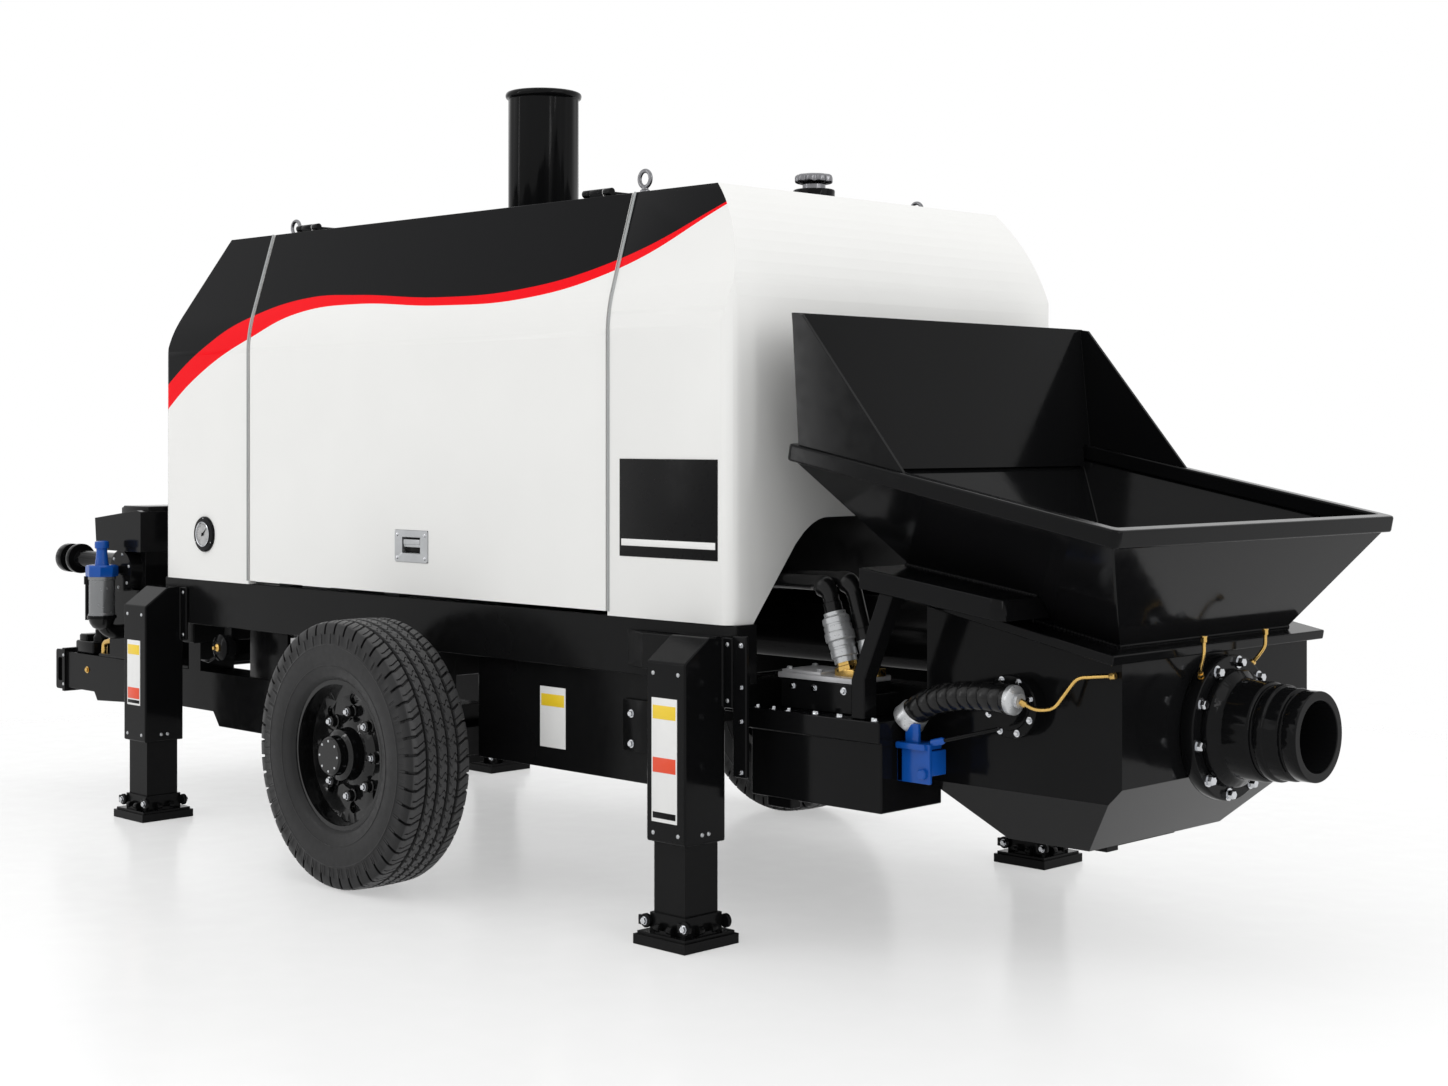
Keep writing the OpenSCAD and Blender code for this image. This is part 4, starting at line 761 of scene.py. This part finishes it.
for name, form in labelForms.items():
    (x, z), (width, height), thick = form["middle"], form["size"], labelPlate["thick"]
    left, right, low = x - width / 2, x + width / 2, z - height / 2
    label = flatPlate((left, right), (low, low + height), form["face"], thick)
    addPiece("blankLabel_" + name, label, labelWhite, "chassis")
    inset, bandFace = labelPlate["inset"] * width, form["face"] - thick + labelPlate["bandSunk"]
    for band, share in form["bands"].items():
        strip = flatPlate((left + inset, right - inset), low + height * np.array(share), bandFace,
                          labelPlate["bandThick"])
        addPiece(band + "Band_" + name, strip, bandPaints[band], "chassis")
print("legs done")

# Hopper: weld beads, flange and bearing bolts, small bolts on the frame
rimRun, rimFall = 1.048, 0.2  # length and drop of the tilted rim
hopperForm = {"rear": (2.4895, 1.137), "tilt": math.atan2(rimFall, rimRun),
              "slant": math.hypot(rimRun, rimFall), "footFront": 0.361, "footRear": -0.121, "footHalf": 0.39,
              "depth": 0.325, "topHalf": 0.634, "topDepth": 0.045, "bead": 0.0045, "beadStep": 0.011,
              "swell": 0.28}
tiltCos, tiltSin = math.cos(hopperForm["tilt"]), math.sin(hopperForm["tilt"])


def tiltPoints(x, y, z):  # points of the tilted rim's own frame as points of the whole part
    x, y, z = np.broadcast_arrays(np.asarray(x, float), y, z)
    return np.stack([hopperForm["rear"][0] + x * tiltCos + z * tiltSin, y,
                     hopperForm["rear"][1] - x * tiltSin + z * tiltCos], -1)


def weldBead(corners):  # a thin tube whose radius swells at each step along the seam
    length = np.linalg.norm(np.diff(corners, axis=0), axis=1).sum()
    path, run = evenPath(corners, int(length / hopperForm["beadStep"] * 4))
    ripple = 1 + hopperForm["swell"] * np.sin(2 * np.pi * run / hopperForm["beadStep"])
    return pathTube(path, hopperForm["bead"] * ripple, 7)


footX = np.array([hopperForm["footFront"] - hopperForm["slant"], hopperForm["footRear"]])
footEdge = tiltPoints(footX[[0, 0, 1, 1, 0]], np.array([1, -1, -1, 1, 1]) * (hopperForm["footHalf"] + 0.003),
                      0.002 - hopperForm["depth"])
beads = [weldBead(footEdge[k:k + 2]) for k in range(4)]
ledgeForm = {"x": np.array([1.668, 2.118]), "top": 1.018, "start": 1.6645,
             "fall": math.tan(math.radians(7.5))}


def ledgeSeam(side):  # where the ledge's top meets the funnel's sloping side
    x = ledgeForm["x"]
    z = ledgeForm["top"] - (x - ledgeForm["start"]) * ledgeForm["fall"]
    deep = -((x - hopperForm["rear"][0]) * tiltSin + (z - hopperForm["rear"][1]) * tiltCos)
    share = (deep - hopperForm["topDepth"]) / (hopperForm["depth"] - hopperForm["topDepth"])
    y = hopperForm["topHalf"] + (hopperForm["footHalf"] - hopperForm["topHalf"]) * share
    return np.stack([x, side * (y + 0.002), z + 0.001], -1)


beads += [weldBead(ledgeSeam(side)) for side in (-1, 1)]
addPiece("weldBeads", joinShapes(beads), blackPaint, "chassis", 60)

flangeLow, flangeHigh = nodeBox("outlet_flange")
outletForm = {"axisZ": (flangeLow[2] + flangeHigh[2]) / 2, "face": flangeHigh[0], "circle": 0.1675,
              "count": 10, "bolt": 0.0125, "boltHeight": 0.019, "washer": 1.3, "start": math.radians(8)}
angle = outletForm["start"] + np.arange(outletForm["count"]) * 2 * np.pi / outletForm["count"]
flangeSpots = np.stack([np.full(len(angle), outletForm["face"]), outletForm["circle"] * np.sin(angle),
                        outletForm["axisZ"] + outletForm["circle"] * np.cos(angle)], -1)
flangeBolt = boltShape(outletForm["bolt"], outletForm["boltHeight"], outletForm["washer"])
addPiece("flangeBolts", placeMany(flangeBolt, flangeSpots, (1, 0, 0)), chrome, "chassis")

bearingCap = [(0, 0), (0.08, 0), (0.08, 0.041), (0.077, 0.045), (0.06, 0.045), (0.058, 0.05)]
bearingForm = {"middle": sum(nodeBox("agitator_bearings")) / 2 * np.array([1, 0, 1]), "wall": 0.43,
               "face": 0.475, "circle": 0.069, "count": 8, "bolt": 0.006, "boltHeight": 0.008, "start": 0.35,
               "near": bearingCap + [(0.047, 0.05), (0.046, 0.068), (0, 0.068)],
               "far": bearingCap + [(0.052, 0.05), (0.052, 0.124), (0.046, 0.13), (0, 0.13)]}
bearingDiscs, bearingBolts = [], []
for key, side in (("near", -1), ("far", 1)):
    out = np.array([0, side, 0])
    bearingDiscs.append(lathe(bearingForm[key], bearingForm["middle"] + bearingForm["wall"] * out, out, 64))
    spots = circlePlaces(bearingForm["middle"], bearingForm["circle"], bearingForm["count"],
                         bearingForm["face"], side, bearingForm["start"])
    bearingBolts.append(placeMany(boltShape(bearingForm["bolt"], bearingForm["boltHeight"]), spots, out))
discs = addPiece("bearingDiscs", joinShapes(bearingDiscs), blackPaint, "chassis")
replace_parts(discs, "agitator_bearings")
addPiece("bearingBolts", joinShapes(bearingBolts), chrome, "chassis")

blockLow, blockHigh = nodeBox("valve_block")
rowForm = {"lid": {"radius": 0.008, "x": (1.285, 1.345, 1.4, 1.5, 1.585, 1.705), "y": 0.604,
                   "z": blockLow[2]},
           "endPlate": {"radius": 0.0058, "x": 1.334, "y": 0.714, "z": (0.465, 0.6, 0.69, 0.8)},
           "skirt": {"radius": 0.0085, "x": 0.858, "y": skirtsHigh[1], "z": (0.49, 0.575)},
           "block": {"radius": 0.0075, "x": (1.376, 1.455, 1.56), "y": blockLow[1], "z": blockHigh[2] - 0.02}}


def boltRow(row, side, way):  # bolts at each x and z of a row
    spots = np.stack(np.broadcast_arrays(row["x"], side * row["y"], row["z"]), -1)
    return placeMany(boltShape(row["radius"], 1.1 * row["radius"], 1.35), spots, way)


bolts = []
for side in (-1, 1):
    bolts.append(boltRow(rowForm["lid"], side, (0, 0, 1)))
    bolts += [boltRow(rowForm[key], side, (0, side, 0)) for key in ("endPlate", "skirt")]
bolts.append(boltRow(rowForm["block"], 1, (0, -1, 0)))
addPiece("frameBolts", joinShapes(bolts), chrome, "chassis")
skirtForm = {"x": (0.82, 0.925), "y": (-skirtsHigh[1], 0.015 - skirtsHigh[1]), "z": (0.468, 0.615),
             "ease": 0.0025}


def bothSides(form):  # a box from its spans, on the left and on the right
    box = roundBox(*np.array([form[axis] for axis in "xyz"]).T, form["ease"], 3)
    return joinShapes([box, mirrorShape(box)])


addPiece("skirtPlates", bothSides(skirtForm), chassisPaint, "chassis")
print("hopper done")

# Fittings at the valve block: steel plate and couplings, brass feet, hoses
standForm = {"z": blockHigh[2], "lean": math.radians(18), "bend": 0.06, "hose": 0.022,
             "tank": nodeBox("oil_tank")[1][0]}
brassFoot = [(0, 0.028), (0.031, 0.0285), (0.031, 0.04), (0.0285, 0.042), (0.0285, 0.055), (0, 0.055)]
stands = [
    {"spot": (1.5295, -0.5), "rise": 0.225, "hoseFrom": 0.184, "sides": 40, "foot": 1.0,
     "blockHalf": 0.034,
     "coupling": [(0, 0.05), (0.031, 0.05), (0.031, 0.064), (0.0355, 0.067), (0.0355, 0.085), (0.034, 0.087),
                  (0.034, 0.092), (0.0355, 0.094), (0.0355, 0.108), (0.0405, 0.112), (0.0405, 0.132),
                  (0.0375, 0.136), (0.0375, 0.15), (0.036, 0.152), (0.036, 0.156), (0.0375, 0.158),
                  (0.0375, 0.172), (0.03, 0.178), (0.03, 0.187), (0, 0.187)]},
    {"spot": (1.5775, -0.455), "rise": 0.235, "hoseFrom": 0.112, "sides": 36, "foot": 0.76,
     "blockHalf": 0.023,
     "coupling": [(0, 0.05), (0.0225, 0.05), (0.0225, 0.064), (0.0245, 0.067), (0.0245, 0.1), (0.0225, 0.106),
                  (0.0225, 0.116), (0, 0.116)]},
]
standAxis = np.array([-math.sin(standForm["lean"]), 0, math.cos(standForm["lean"])])
standAcross = np.array([math.cos(standForm["lean"]), 0, math.sin(standForm["lean"])])


def standPoint(stand, across=0.0, up=0.0):  # a point of a leaning coupling's own frame
    return np.array([*stand["spot"], standForm["z"]]) + np.multiply.outer(across, standAcross) \
        + np.multiply.outer(up, standAxis)


def standHose(stand):
    # up the coupling's axis, an arc over to level, straight to the tank; with a ferrule, and a nut at the bend
    turn = np.linspace(0, math.pi / 2 - standForm["lean"], 12)
    bend, start, rise = standForm["bend"], stand["hoseFrom"], stand["rise"]
    arc = standPoint(stand, bend * (np.cos(turn) - 1), rise + bend * np.sin(turn))
    end = [standForm["tank"], *arc[-1][1:]]
    path, run = evenPath(np.concatenate([[standPoint(stand, 0.0, start)], arc, [end]]), 160)
    swell = np.where(run < 0.03, 0.003, 0.0) + 0.008 * np.exp(-((run - rise + start - 0.04) / 0.022) ** 2)
    return pathTube(path, standForm["hose"] + swell, 20)


hoses = [standHose(stand) for stand in stands]
steelParts = [lathe(stand["coupling"], standPoint(stand), standAxis, stand["sides"]) for stand in stands]
brassParts = [lathe([(stand["foot"] * r, h) for r, h in brassFoot], standPoint(stand), standAxis, 6, 0.4)
              for stand in stands]
for stand in stands:
    reach = stand["blockHalf"] * np.array([1.0, 0.8, 0.0])
    brassParts.append(roundBox(standPoint(stand) - reach + np.array([0, 0, 0.012]),
                               standPoint(stand) + reach + np.array([0, 0, 0.034]), 0.004, 4))

valveForm = {"low": np.array([blockLow[0] - 0.005, blockLow[1] - 0.005, blockHigh[2]]),
             "high": np.array([1.598, -0.415, blockHigh[2] + 0.014]), "rim": 0.008, "padX": 1.4735,
             "padZ": 0.008, "ease": 0.002, "boltX": (1.345, 1.455), "boltY": (-0.54, -0.44), "boltZ": 0.021,
             "bolt": 0.008}
low, high, rim = valveForm["low"], valveForm["high"], valveForm["rim"]
pad = roundBox((low[0] + rim, low[1] + rim, high[2] - 0.002),
               (valveForm["padX"], high[1] - rim, high[2] + valveForm["padZ"]), valveForm["ease"], 3)
valvePlate = joinShapes([roundBox(low, high, valveForm["ease"], 3), pad])
addPiece("valvePlate", valvePlate, zincPlate, "chassis")
boltSpots = [(x, y, blockHigh[2] + valveForm["boltZ"])
             for x in valveForm["boltX"] for y in valveForm["boltY"]]
plateBolts = placeMany(boltShape(valveForm["bolt"], valveForm["bolt"]), boltSpots, (0, 0, 1))

# Ribbed hose from the side box to the bearing's hub, with its bright clamp and end ring
ribbedForm = {"start": np.array([1.7485, -0.513, 0.63]), "knee": np.array([1.83, -0.518, 0.716]),
              "end": np.array([2.088, -0.53, 0.706]), "radius": 0.0375, "rib": 0.034, "ribDepth": 0.0045,
              "clamp": [(0, -0.012), (0.044, -0.012), (0.0455, -0.008), (0.043, 0.004), (0.0405, 0.024),
                        (0.038, 0.026), (0, 0.026)],
              "ring": [(0, -0.004), (0.036, -0.004), (0.0375, 0.0), (0.0375, 0.012), (0.03, 0.016),
                       (0.018, 0.018), (0.018, 0.03), (0, 0.03)],
              "bolt": [(0, 0), (0.007, 0), (0.007, 0.018), (0.005, 0.02), (0, 0.02)],
              "boltAt": np.array([0.012, -0.01, -0.058]), "boltWay": (0.4, -0.5, -0.6)}
t = np.linspace(0, 1, 60)[:, None]  # an arched hose: a quadratic curve, steep at the clamp
ribbedLine = (1 - t) ** 2 * ribbedForm["start"] + 2 * t * (1 - t) * ribbedForm["knee"] \
    + t ** 2 * ribbedForm["end"]
ribbedPath, run = evenPath(ribbedLine, 260)
ribWave = np.abs(np.sin(np.pi * run / ribbedForm["rib"])) ** 0.35
ribbed = pathTube(ribbedPath, ribbedForm["radius"] - ribbedForm["ribDepth"] * (1 - ribWave), 30)
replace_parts(addPiece("ribbedHose", ribbed, hoseRubber, "chassis", 60), "ribbed_hose")
steelParts += [lathe(ribbedForm["clamp"], ribbedForm["start"], ribbedLine[4] - ribbedLine[0], 40),
               lathe(ribbedForm["ring"], ribbedForm["end"], ribbedLine[-1] - ribbedLine[-3], 36)]
clampBolt = lathe(ribbedForm["bolt"], ribbedForm["start"] + ribbedForm["boltAt"], ribbedForm["boltWay"], 12)
brassParts.append(clampBolt)

# Grease pipes of bent brass with small nuts at their ends
greaseForm = {"radius": 0.0048, "bend": 0.03, "nut": 0.0085, "nutHeight": 0.016, "routes": [
    [(2.116, -0.531, 0.704), (2.15, -0.516, 0.684), (2.18, -0.48, 0.686), (2.2293, -0.452, 0.765),
     (2.335, -0.442, 0.777)],
    [(2.408, -0.17, 0.86), (2.408, -0.17, 0.815), (2.385, -0.15, 0.775), (2.372, -0.128, 0.752)],
    [(2.408, 0.115, 0.86), (2.408, 0.115, 0.815), (2.39, 0.105, 0.785), (2.372, 0.1, 0.765)]]}
greaseNut = boltShape(greaseForm["nut"], greaseForm["nutHeight"], 1.0)
for route in map(np.array, greaseForm["routes"]):
    gap = 0.45 * np.linalg.norm(np.diff(route, axis=0), axis=1).min()
    brassParts.append(pathTube(softPath(route, min(greaseForm["bend"], gap)), greaseForm["radius"], 12))
    brassParts += [placeMany(greaseNut, [end], inner - end) for end, inner in (route[:2], route[:-3:-1])]

# Front filter: blue head on a steel bowl, with a black strap, a cup and an elbow
unitLow, unitHigh = nodeBox("front_unit")
filterForm = {"place": np.array([unitHigh[0] - 0.176, unitLow[1] - 0.06, unitHigh[2] - 0.19]),
              "bowl": (-0.209, -0.058), "head": -0.015, "elbow": 0.027, "bend": 0.06, "elbowEnd": 0.099,
              "strapWay": np.array([-0.71, -0.7, 0]), "strapReach": 0.056, "strapWire": 0.0065}
filterAt, (low, high), head = filterForm["place"], filterForm["bowl"], filterForm["head"]


def filterTurn(profile, sides, start=0.0):  # a profile turned about the filter's upright axis
    return lathe(profile, filterAt, (0, 0, 1), sides, start)


bowl = filterTurn([(0, low), (0.046, low), (0.05, low + 0.004), (0.05, low + 0.012), (0.0475, low + 0.015),
                   (0.0475, high - 0.014), (0.0505, high - 0.01), (0.0505, high + 0.001), (0, high + 0.001)],
                  48)
addPiece("filterBowl", bowl, bowlSteel, "chassis")
blueParts = [filterTurn([(0, high), (0.056, high), (0.059, high + 0.004), (0.059, head - 0.006),
                         (0.053, head), (0, head)], 8, 0.2),
             filterTurn([(0, head - 0.001), (0.026, head - 0.001), (0.0225, 0.006), (0.02, 0.035),
                         (0.0205, 0.045), (0.0255, 0.047), (0.0265, 0.06), (0.0255, 0.072), (0.016, 0.075),
                         (0, 0.075)], 32)]
strapAt = filterAt + filterForm["strapReach"] * filterForm["strapWay"]
strapLine = strapAt + np.outer([low - 0.012, (low + high) / 2, high - 0.004], [0, 0, 1])
strap = [pathTube(strapLine, filterForm["strapWire"], 12),
         lathe([(0, 0), (0.011, 0), (0.011, 0.03), (0, 0.03)], strapAt + np.array([0, 0, high - 0.03]),
               (0, 0, 1), 10),
         filterTurn([(0.047, low - 0.006), (0.0535, low - 0.006), (0.0535, low + 0.006),
                     (0.047, low + 0.006)], 40),
         roundBox(filterAt + np.array([-0.025, 0.04, high + 0.008]),
                  filterAt + np.array([0.025, 0.07, head - 0.007]), 0.003, 3)]
turn, bend = np.linspace(math.pi, 1.5 * math.pi, 16), filterForm["bend"]
elbowArc = np.stack([0 * turn, bend * (1 + np.cos(turn)), low + bend * np.sin(turn)], -1)
elbowLine = filterAt + np.concatenate([elbowArc, [[0, filterForm["elbowEnd"], low - bend]]])
elbow = pathTube(evenPath(elbowLine, 60)[0], filterForm["elbow"], 28)
cup = filterTurn([(0, low - 0.05), (0.016, low - 0.048), (0.032, low - 0.04), (0.043, low - 0.025),
                  (0.049, low - 0.006), (0.0495, low + 0.01), (0, low + 0.01)], 40)

# Blue bracket beside the side box: folded plate, tab, pivot bolt and a thin rod to the bearing
bracketForm = {"at": np.array([nodeBox("hopper_box")[0][0], -0.55, 0.47]), "ease": 0.003,
               "rodZ": (0.574, 0.622),
               "plates": [((0, 0, 0), (0.108, 0.012, 0.102)), ((0, 0, 0), (0.02, 0.07, 0.09)),
                          ((0.004, -0.012, 0.086), (0.1, 0.06, 0.102)),
                          ((0.022, 0.006, 0.09), (0.066, 0.018, 0.15)),
                          ((0.086, 0.004, 0.02), (0.106, 0.07, 0.084))],
               "pivot": [(0, 0), (0.014, 0), (0.014, 0.012), (0.011, 0.016), (0, 0.016)],
               "pivotAt": np.array([0.09, 0.001, 0.026]), "rod": 0.0052,
               "rodEnd": [(0, 0), (0.0095, 0), (0.0095, 0.03), (0.007, 0.036), (0, 0.036)]}
bracketAt = bracketForm["at"]
for corners in bracketForm["plates"]:
    blueParts.append(roundBox(*(bracketAt + np.array(corners)), bracketForm["ease"], 3))
blueParts.append(lathe(bracketForm["pivot"], bracketAt + bracketForm["pivotAt"], (0, -1, 0), 20))
rodStart = np.array([bracketAt[0] + 0.1, bracketAt[1] + 0.02, bracketForm["rodZ"][0]])
rodStop = np.array([bearingForm["middle"][0] - 0.03, -bearingForm["face"] - 0.006, bracketForm["rodZ"][1]])
blueParts.append(lathe(bracketForm["rodEnd"], rodStart, rodStop - rodStart, 14))
strap.append(pathTube(rodStart + np.outer([0.1, 0.5, 1.0], rodStop - rodStart), bracketForm["rod"], 12))

couplings = addPiece("steelCouplings", joinShapes(steelParts + [plateBolts]), steel, "chassis")
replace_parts(couplings, "steel_fittings")
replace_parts(addPiece("brassParts", joinShapes(brassParts), brass, "chassis"), "brass_fittings")
blue = addPiece("blueParts", joinShapes(blueParts), bluePaint, "chassis")
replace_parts(blue, "blue_fittings")
rubber = addPiece("rubberHoses", joinShapes(hoses + [elbow, cup]), hoseRubber, "chassis")
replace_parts(rubber, "rubber_hoses")
addPiece("strapAndRod", joinShapes(strap), blackPaint, "chassis")
print("fittings done")

# Front end: brake valve's cover and rod, lid strip and clip, clamps and brass elbow on the front beam
valveLow, valveHigh = nodeBox("brake_valve")
coverForm = {"at": np.array([(valveLow[0] + valveHigh[0]) / 2, valveLow[1], valveLow[2] + 0.042]),
             "centre": [(0, 0), (0.014, 0), (0.014, 0.01), (0.01, 0.014), (0.006, 0.015), (0.006, 0.024),
                        (0, 0.024)],
             "cover": [(0.044, -0.012), (0.046, -0.008), (0.046, -0.002), (0.038, 0.004), (0.024, 0.008),
                       (0.02, 0.004), (0, 0.004)],
             "rod": [(-0.01, -0.005, -0.03), (-0.06, -0.004, -0.052), (-0.16, 0.03, -0.055)],
             "rodRadius": 0.006, "rodBend": 0.02}
frontBrass = [lathe(coverForm["centre"], coverForm["at"], (0, -1, 0), 20)]
rodPath = softPath(coverForm["at"] + np.array(coverForm["rod"]), coverForm["rodBend"])
frontBlack = [lathe(coverForm["cover"], coverForm["at"], (0, -1, 0), 40),
              pathTube(rodPath, coverForm["rodRadius"], 12)]
lidCorner = np.array([unitHigh[0], unitLow[1], unitHigh[2]])
lidForm = {"strip": ((-0.2, 0.04, -0.035), (-0.012, 0.36, 0.014)),
           "clip": ((-0.23, 0.05, -0.04), (-0.19, 0.09, 0.008)), "ease": 0.006}
frontBlack += [roundBox(*(lidCorner + np.array(lidForm[key])), lidForm["ease"], 4)
               for key in ("strip", "clip")]
towLow = nodeBox("tow_left")[0]
deckForm = {"at": np.array([towLow[0] + 0.33, -0.56, 0.505]), "ease": 0.008,
            "clamps": [((-0.2, -0.02, 0), (-0.06, 0.1, 0.05)), ((-0.19, -0.01, 0.04), (-0.13, 0.07, 0.075))],
            "knob": [(0.03, 0), (0.03, 0.02), (0.022, 0.03), (0.022, 0.05), (0.0, 0.055)],
            "knobAt": np.array([-0.09, 0.03, 0.045]), "pipe": 0.0115, "pipeBend": 0.022,
            "pipeRoute": [(-0.01, 0, 0.0), (-0.01, 0, 0.05), (0.055, 0, 0.062)],
            "beamBolt": (towLow[0] + 0.243, -0.59, 0.446)}
frontBlack += [roundBox(*(deckForm["at"] + np.array(corners)), deckForm["ease"], 4)
               for corners in deckForm["clamps"]]
frontBlack.append(lathe(deckForm["knob"], deckForm["at"] + deckForm["knobAt"], (0, 0, 1), 24))
brassElbow = softPath(deckForm["at"] + np.array(deckForm["pipeRoute"]), deckForm["pipeBend"])
frontBrass += [pathTube(brassElbow, deckForm["pipe"], 14),
               placeMany(boltShape(0.016, 0.014, 1.0), [brassElbow[-1]], (1, 0, 0.1)),
               placeMany(boltShape(0.009, 0.008), [deckForm["beamBolt"]], (0, -1, 0))]
addPiece("frontBrass", joinShapes(frontBrass), brass, "chassis")
addPiece("frontFittings", joinShapes(frontBlack), blackPaint, "chassis")

# Screws on the drum and at the tow ends, slotted tow loops, plates from the rails to the lower beams
drumForm = {"at": np.array([unitHigh[0] - 0.165, unitLow[1] + 0.01, unitHigh[2] - 0.23]), "circle": 0.064,
            "count": 6, "start": 0.3, "screw": 0.0065}
towBolts = {"x": towLow[0] + 0.07, "y": -towLow[1], "z": (0.378, 0.492)}
drumSpots = circlePlaces(drumForm["at"], drumForm["circle"], drumForm["count"], 0.0, -1, drumForm["start"])
towSpots = [(towBolts["x"], side * towBolts["y"], z) for side in (-1, 1) for z in towBolts["z"]]
towWays = [(0, side, 0) for side in (-1, -1, 1, 1)]
frontScrews = placeMany(screwShape(drumForm["screw"]), np.concatenate([drumSpots, towSpots]),
                        [(0, -1, 0)] * drumForm["count"] + towWays)
addPiece("frontScrews", frontScrews, latchMetal, "chassis")
towLoop = {"middle": (towLow[0] + 0.035, 0.435), "outer": np.array([0.034, 0.078]),
           "slot": np.array([0.018, 0.046]), "corner": 0.0115, "near": -0.594, "far": -0.579}
ringRows = [("outer", "far"), ("outer", "near"), ("slot", "near"), ("slot", "far"), ("outer", "far")]
towRing = gridShape(np.array([roundLoop(towLoop["middle"], towLoop[size], towLoop["corner"], towLoop[depth])
                              for size, depth in ringRows]))
addPiece("towLoops", joinShapes([towRing, mirrorShape(towRing)]), blackPaint, "chassis")
hangerForm = {"x": (-1.236, -1.0), "y": (-0.587, -0.573), "z": (0.503, 0.692), "ease": 0.002}
addPiece("hangerPlates", bothSides(hangerForm), chassisPaint, "chassis")
print("front end done")

# Camera as in the photograph, whose frame is 1448 x 1086 pixels
photo = {"width": 1448, "height": 1086, "focal": 2152.0, "middle": (756.5, 437.2)}
view = {"place": (5.3495, -4.747, 1.352), "ahead": (-0.7006, 0.7136, 0.0), "sensor": 36.0}
cameraData = bpy.data.cameras.new("camera")
cameraData.sensor_width = view["sensor"]
cameraData.lens = photo["focal"] / photo["width"] * view["sensor"]
cameraData.shift_x = (photo["width"] / 2 - photo["middle"][0]) / photo["width"]
cameraData.shift_y = (photo["middle"][1] - photo["height"] / 2) / photo["width"]


def addToScene(name, data, place, ahead):  # a camera or lamp that looks along a direction
    item = bpy.data.objects.new(name, data)
    item.location = place
    item.rotation_mode = "QUATERNION"
    item.rotation_quaternion = Vector(ahead).to_track_quat("-Z", "Y")
    bpy.context.scene.collection.objects.link(item)
    return item


bpy.context.scene.camera = addToScene("camera", cameraData, view["place"], view["ahead"])

# Soft studio light: three large lamps, two upright strips and a white room
lamps = {
    "key": {"place": (-1.5, -6.5, 5.5), "aim": (0, 0, 0.9), "size": (5.0, 5.0), "power": 55},
    "side": {"place": (7.0, 0.5, 4.5), "aim": (0.8, 0, 1.0), "size": (4.0, 4.0), "power": 60},
    "top": {"place": (0.0, 1.0, 7.0), "aim": (0, 0, 1.0), "size": (6.0, 6.0), "power": 45},
    "stripLeft": {"place": (-3.4, -5.6, 2.6), "aim": (0, 0, 1.0), "size": (0.35, 3.2), "power": 22},
    "stripRight": {"place": (6.8, -1.4, 2.6), "aim": (1.9, 0, 0.9), "size": (0.35, 3.2), "power": 22},
}
for name, lamp in lamps.items():
    data = bpy.data.lights.new(name, "AREA")
    data.shape = "RECTANGLE"
    data.size, data.size_y = lamp["size"]
    data.energy = lamp["power"]
    addToScene(name, data, lamp["place"], Vector(lamp["aim"]) - Vector(lamp["place"]))

room = {"fill": 1.0, "white": 1.0}


def whiteForSeen(tree, fill, white):  # white for camera, glossy and clear rays, and fill for the rest
    path = tree.nodes.new("ShaderNodeLightPath")
    seen = path.outputs["Is Camera Ray"]
    for ray in ("Is Glossy Ray", "Is Transmission Ray"):
        larger = tree.nodes.new("ShaderNodeMath")
        larger.operation = "MAXIMUM"
        tree.links.new(seen, larger.inputs[0])
        tree.links.new(path.outputs[ray], larger.inputs[1])
        seen = larger.outputs[0]
    strength = tree.nodes.new("ShaderNodeMapRange")
    strength.inputs["To Min"].default_value = fill
    strength.inputs["To Max"].default_value = white
    tree.links.new(seen, strength.inputs["Value"])
    return strength.outputs["Result"]


world = bpy.data.worlds.new("studio")
world.use_nodes = True
bpy.context.scene.world = world
background = world.node_tree.nodes["Background"]
background.inputs["Color"].default_value = (1, 1, 1, 1)
strength = whiteForSeen(world.node_tree, room["fill"], room["white"])
world.node_tree.links.new(strength, background.inputs["Strength"])

floorForm = {"reach": 14.0, "z": -0.001, "clearFrom": 3.2, "clearTo": 8.0, "clearLeast": 0.45,
             "color": (0.93, 0.93, 0.93), "rough": 0.2}


def addFloor():
    # a flat grid whose paint turns clear away from the middle, for seen rays only, so it bounces all its light
    across = np.linspace(-floorForm["reach"], floorForm["reach"], 3)
    points = np.stack(np.broadcast_arrays(across[:, None], across[None, :], floorForm["z"]), -1)
    verts, quads = gridShape(points)
    mesh = bpy.data.meshes.new("floor")
    mesh.from_pydata(verts.tolist(), [], quads.tolist())
    look = surfaceLook("floorPaint", floorForm["color"], floorForm["rough"], spread=0.01, roughSpread=0.03,
                       grain=8, Specular_IOR_Level=0.22)
    length = look.add("ShaderNodeVectorMath", operation="LENGTH")
    look.join(look.place, length.inputs[0])
    fade = look.ramp(length.outputs["Value"], floorForm["clearFrom"], floorForm["clearTo"],
                     floorForm["clearLeast"], 1.0)
    mix = look.add("ShaderNodeMixShader")
    look.join(look.math("MULTIPLY", fade, whiteForSeen(look.tree, 0.0, 1.0)), mix.inputs[0])
    look.join(look.shader.outputs[0], mix.inputs[1])
    look.join(look.add("ShaderNodeBsdfTransparent").outputs[0], mix.inputs[2])
    look.join(mix.outputs[0], look.out.inputs[0])
    mesh.materials.append(look.material)
    floor = bpy.data.objects.new("floor", mesh)
    bpy.context.scene.collection.objects.link(floor)


addFloor()
bpy.context.scene.view_settings.view_transform = "Standard"
print("camera, light and floor ready")
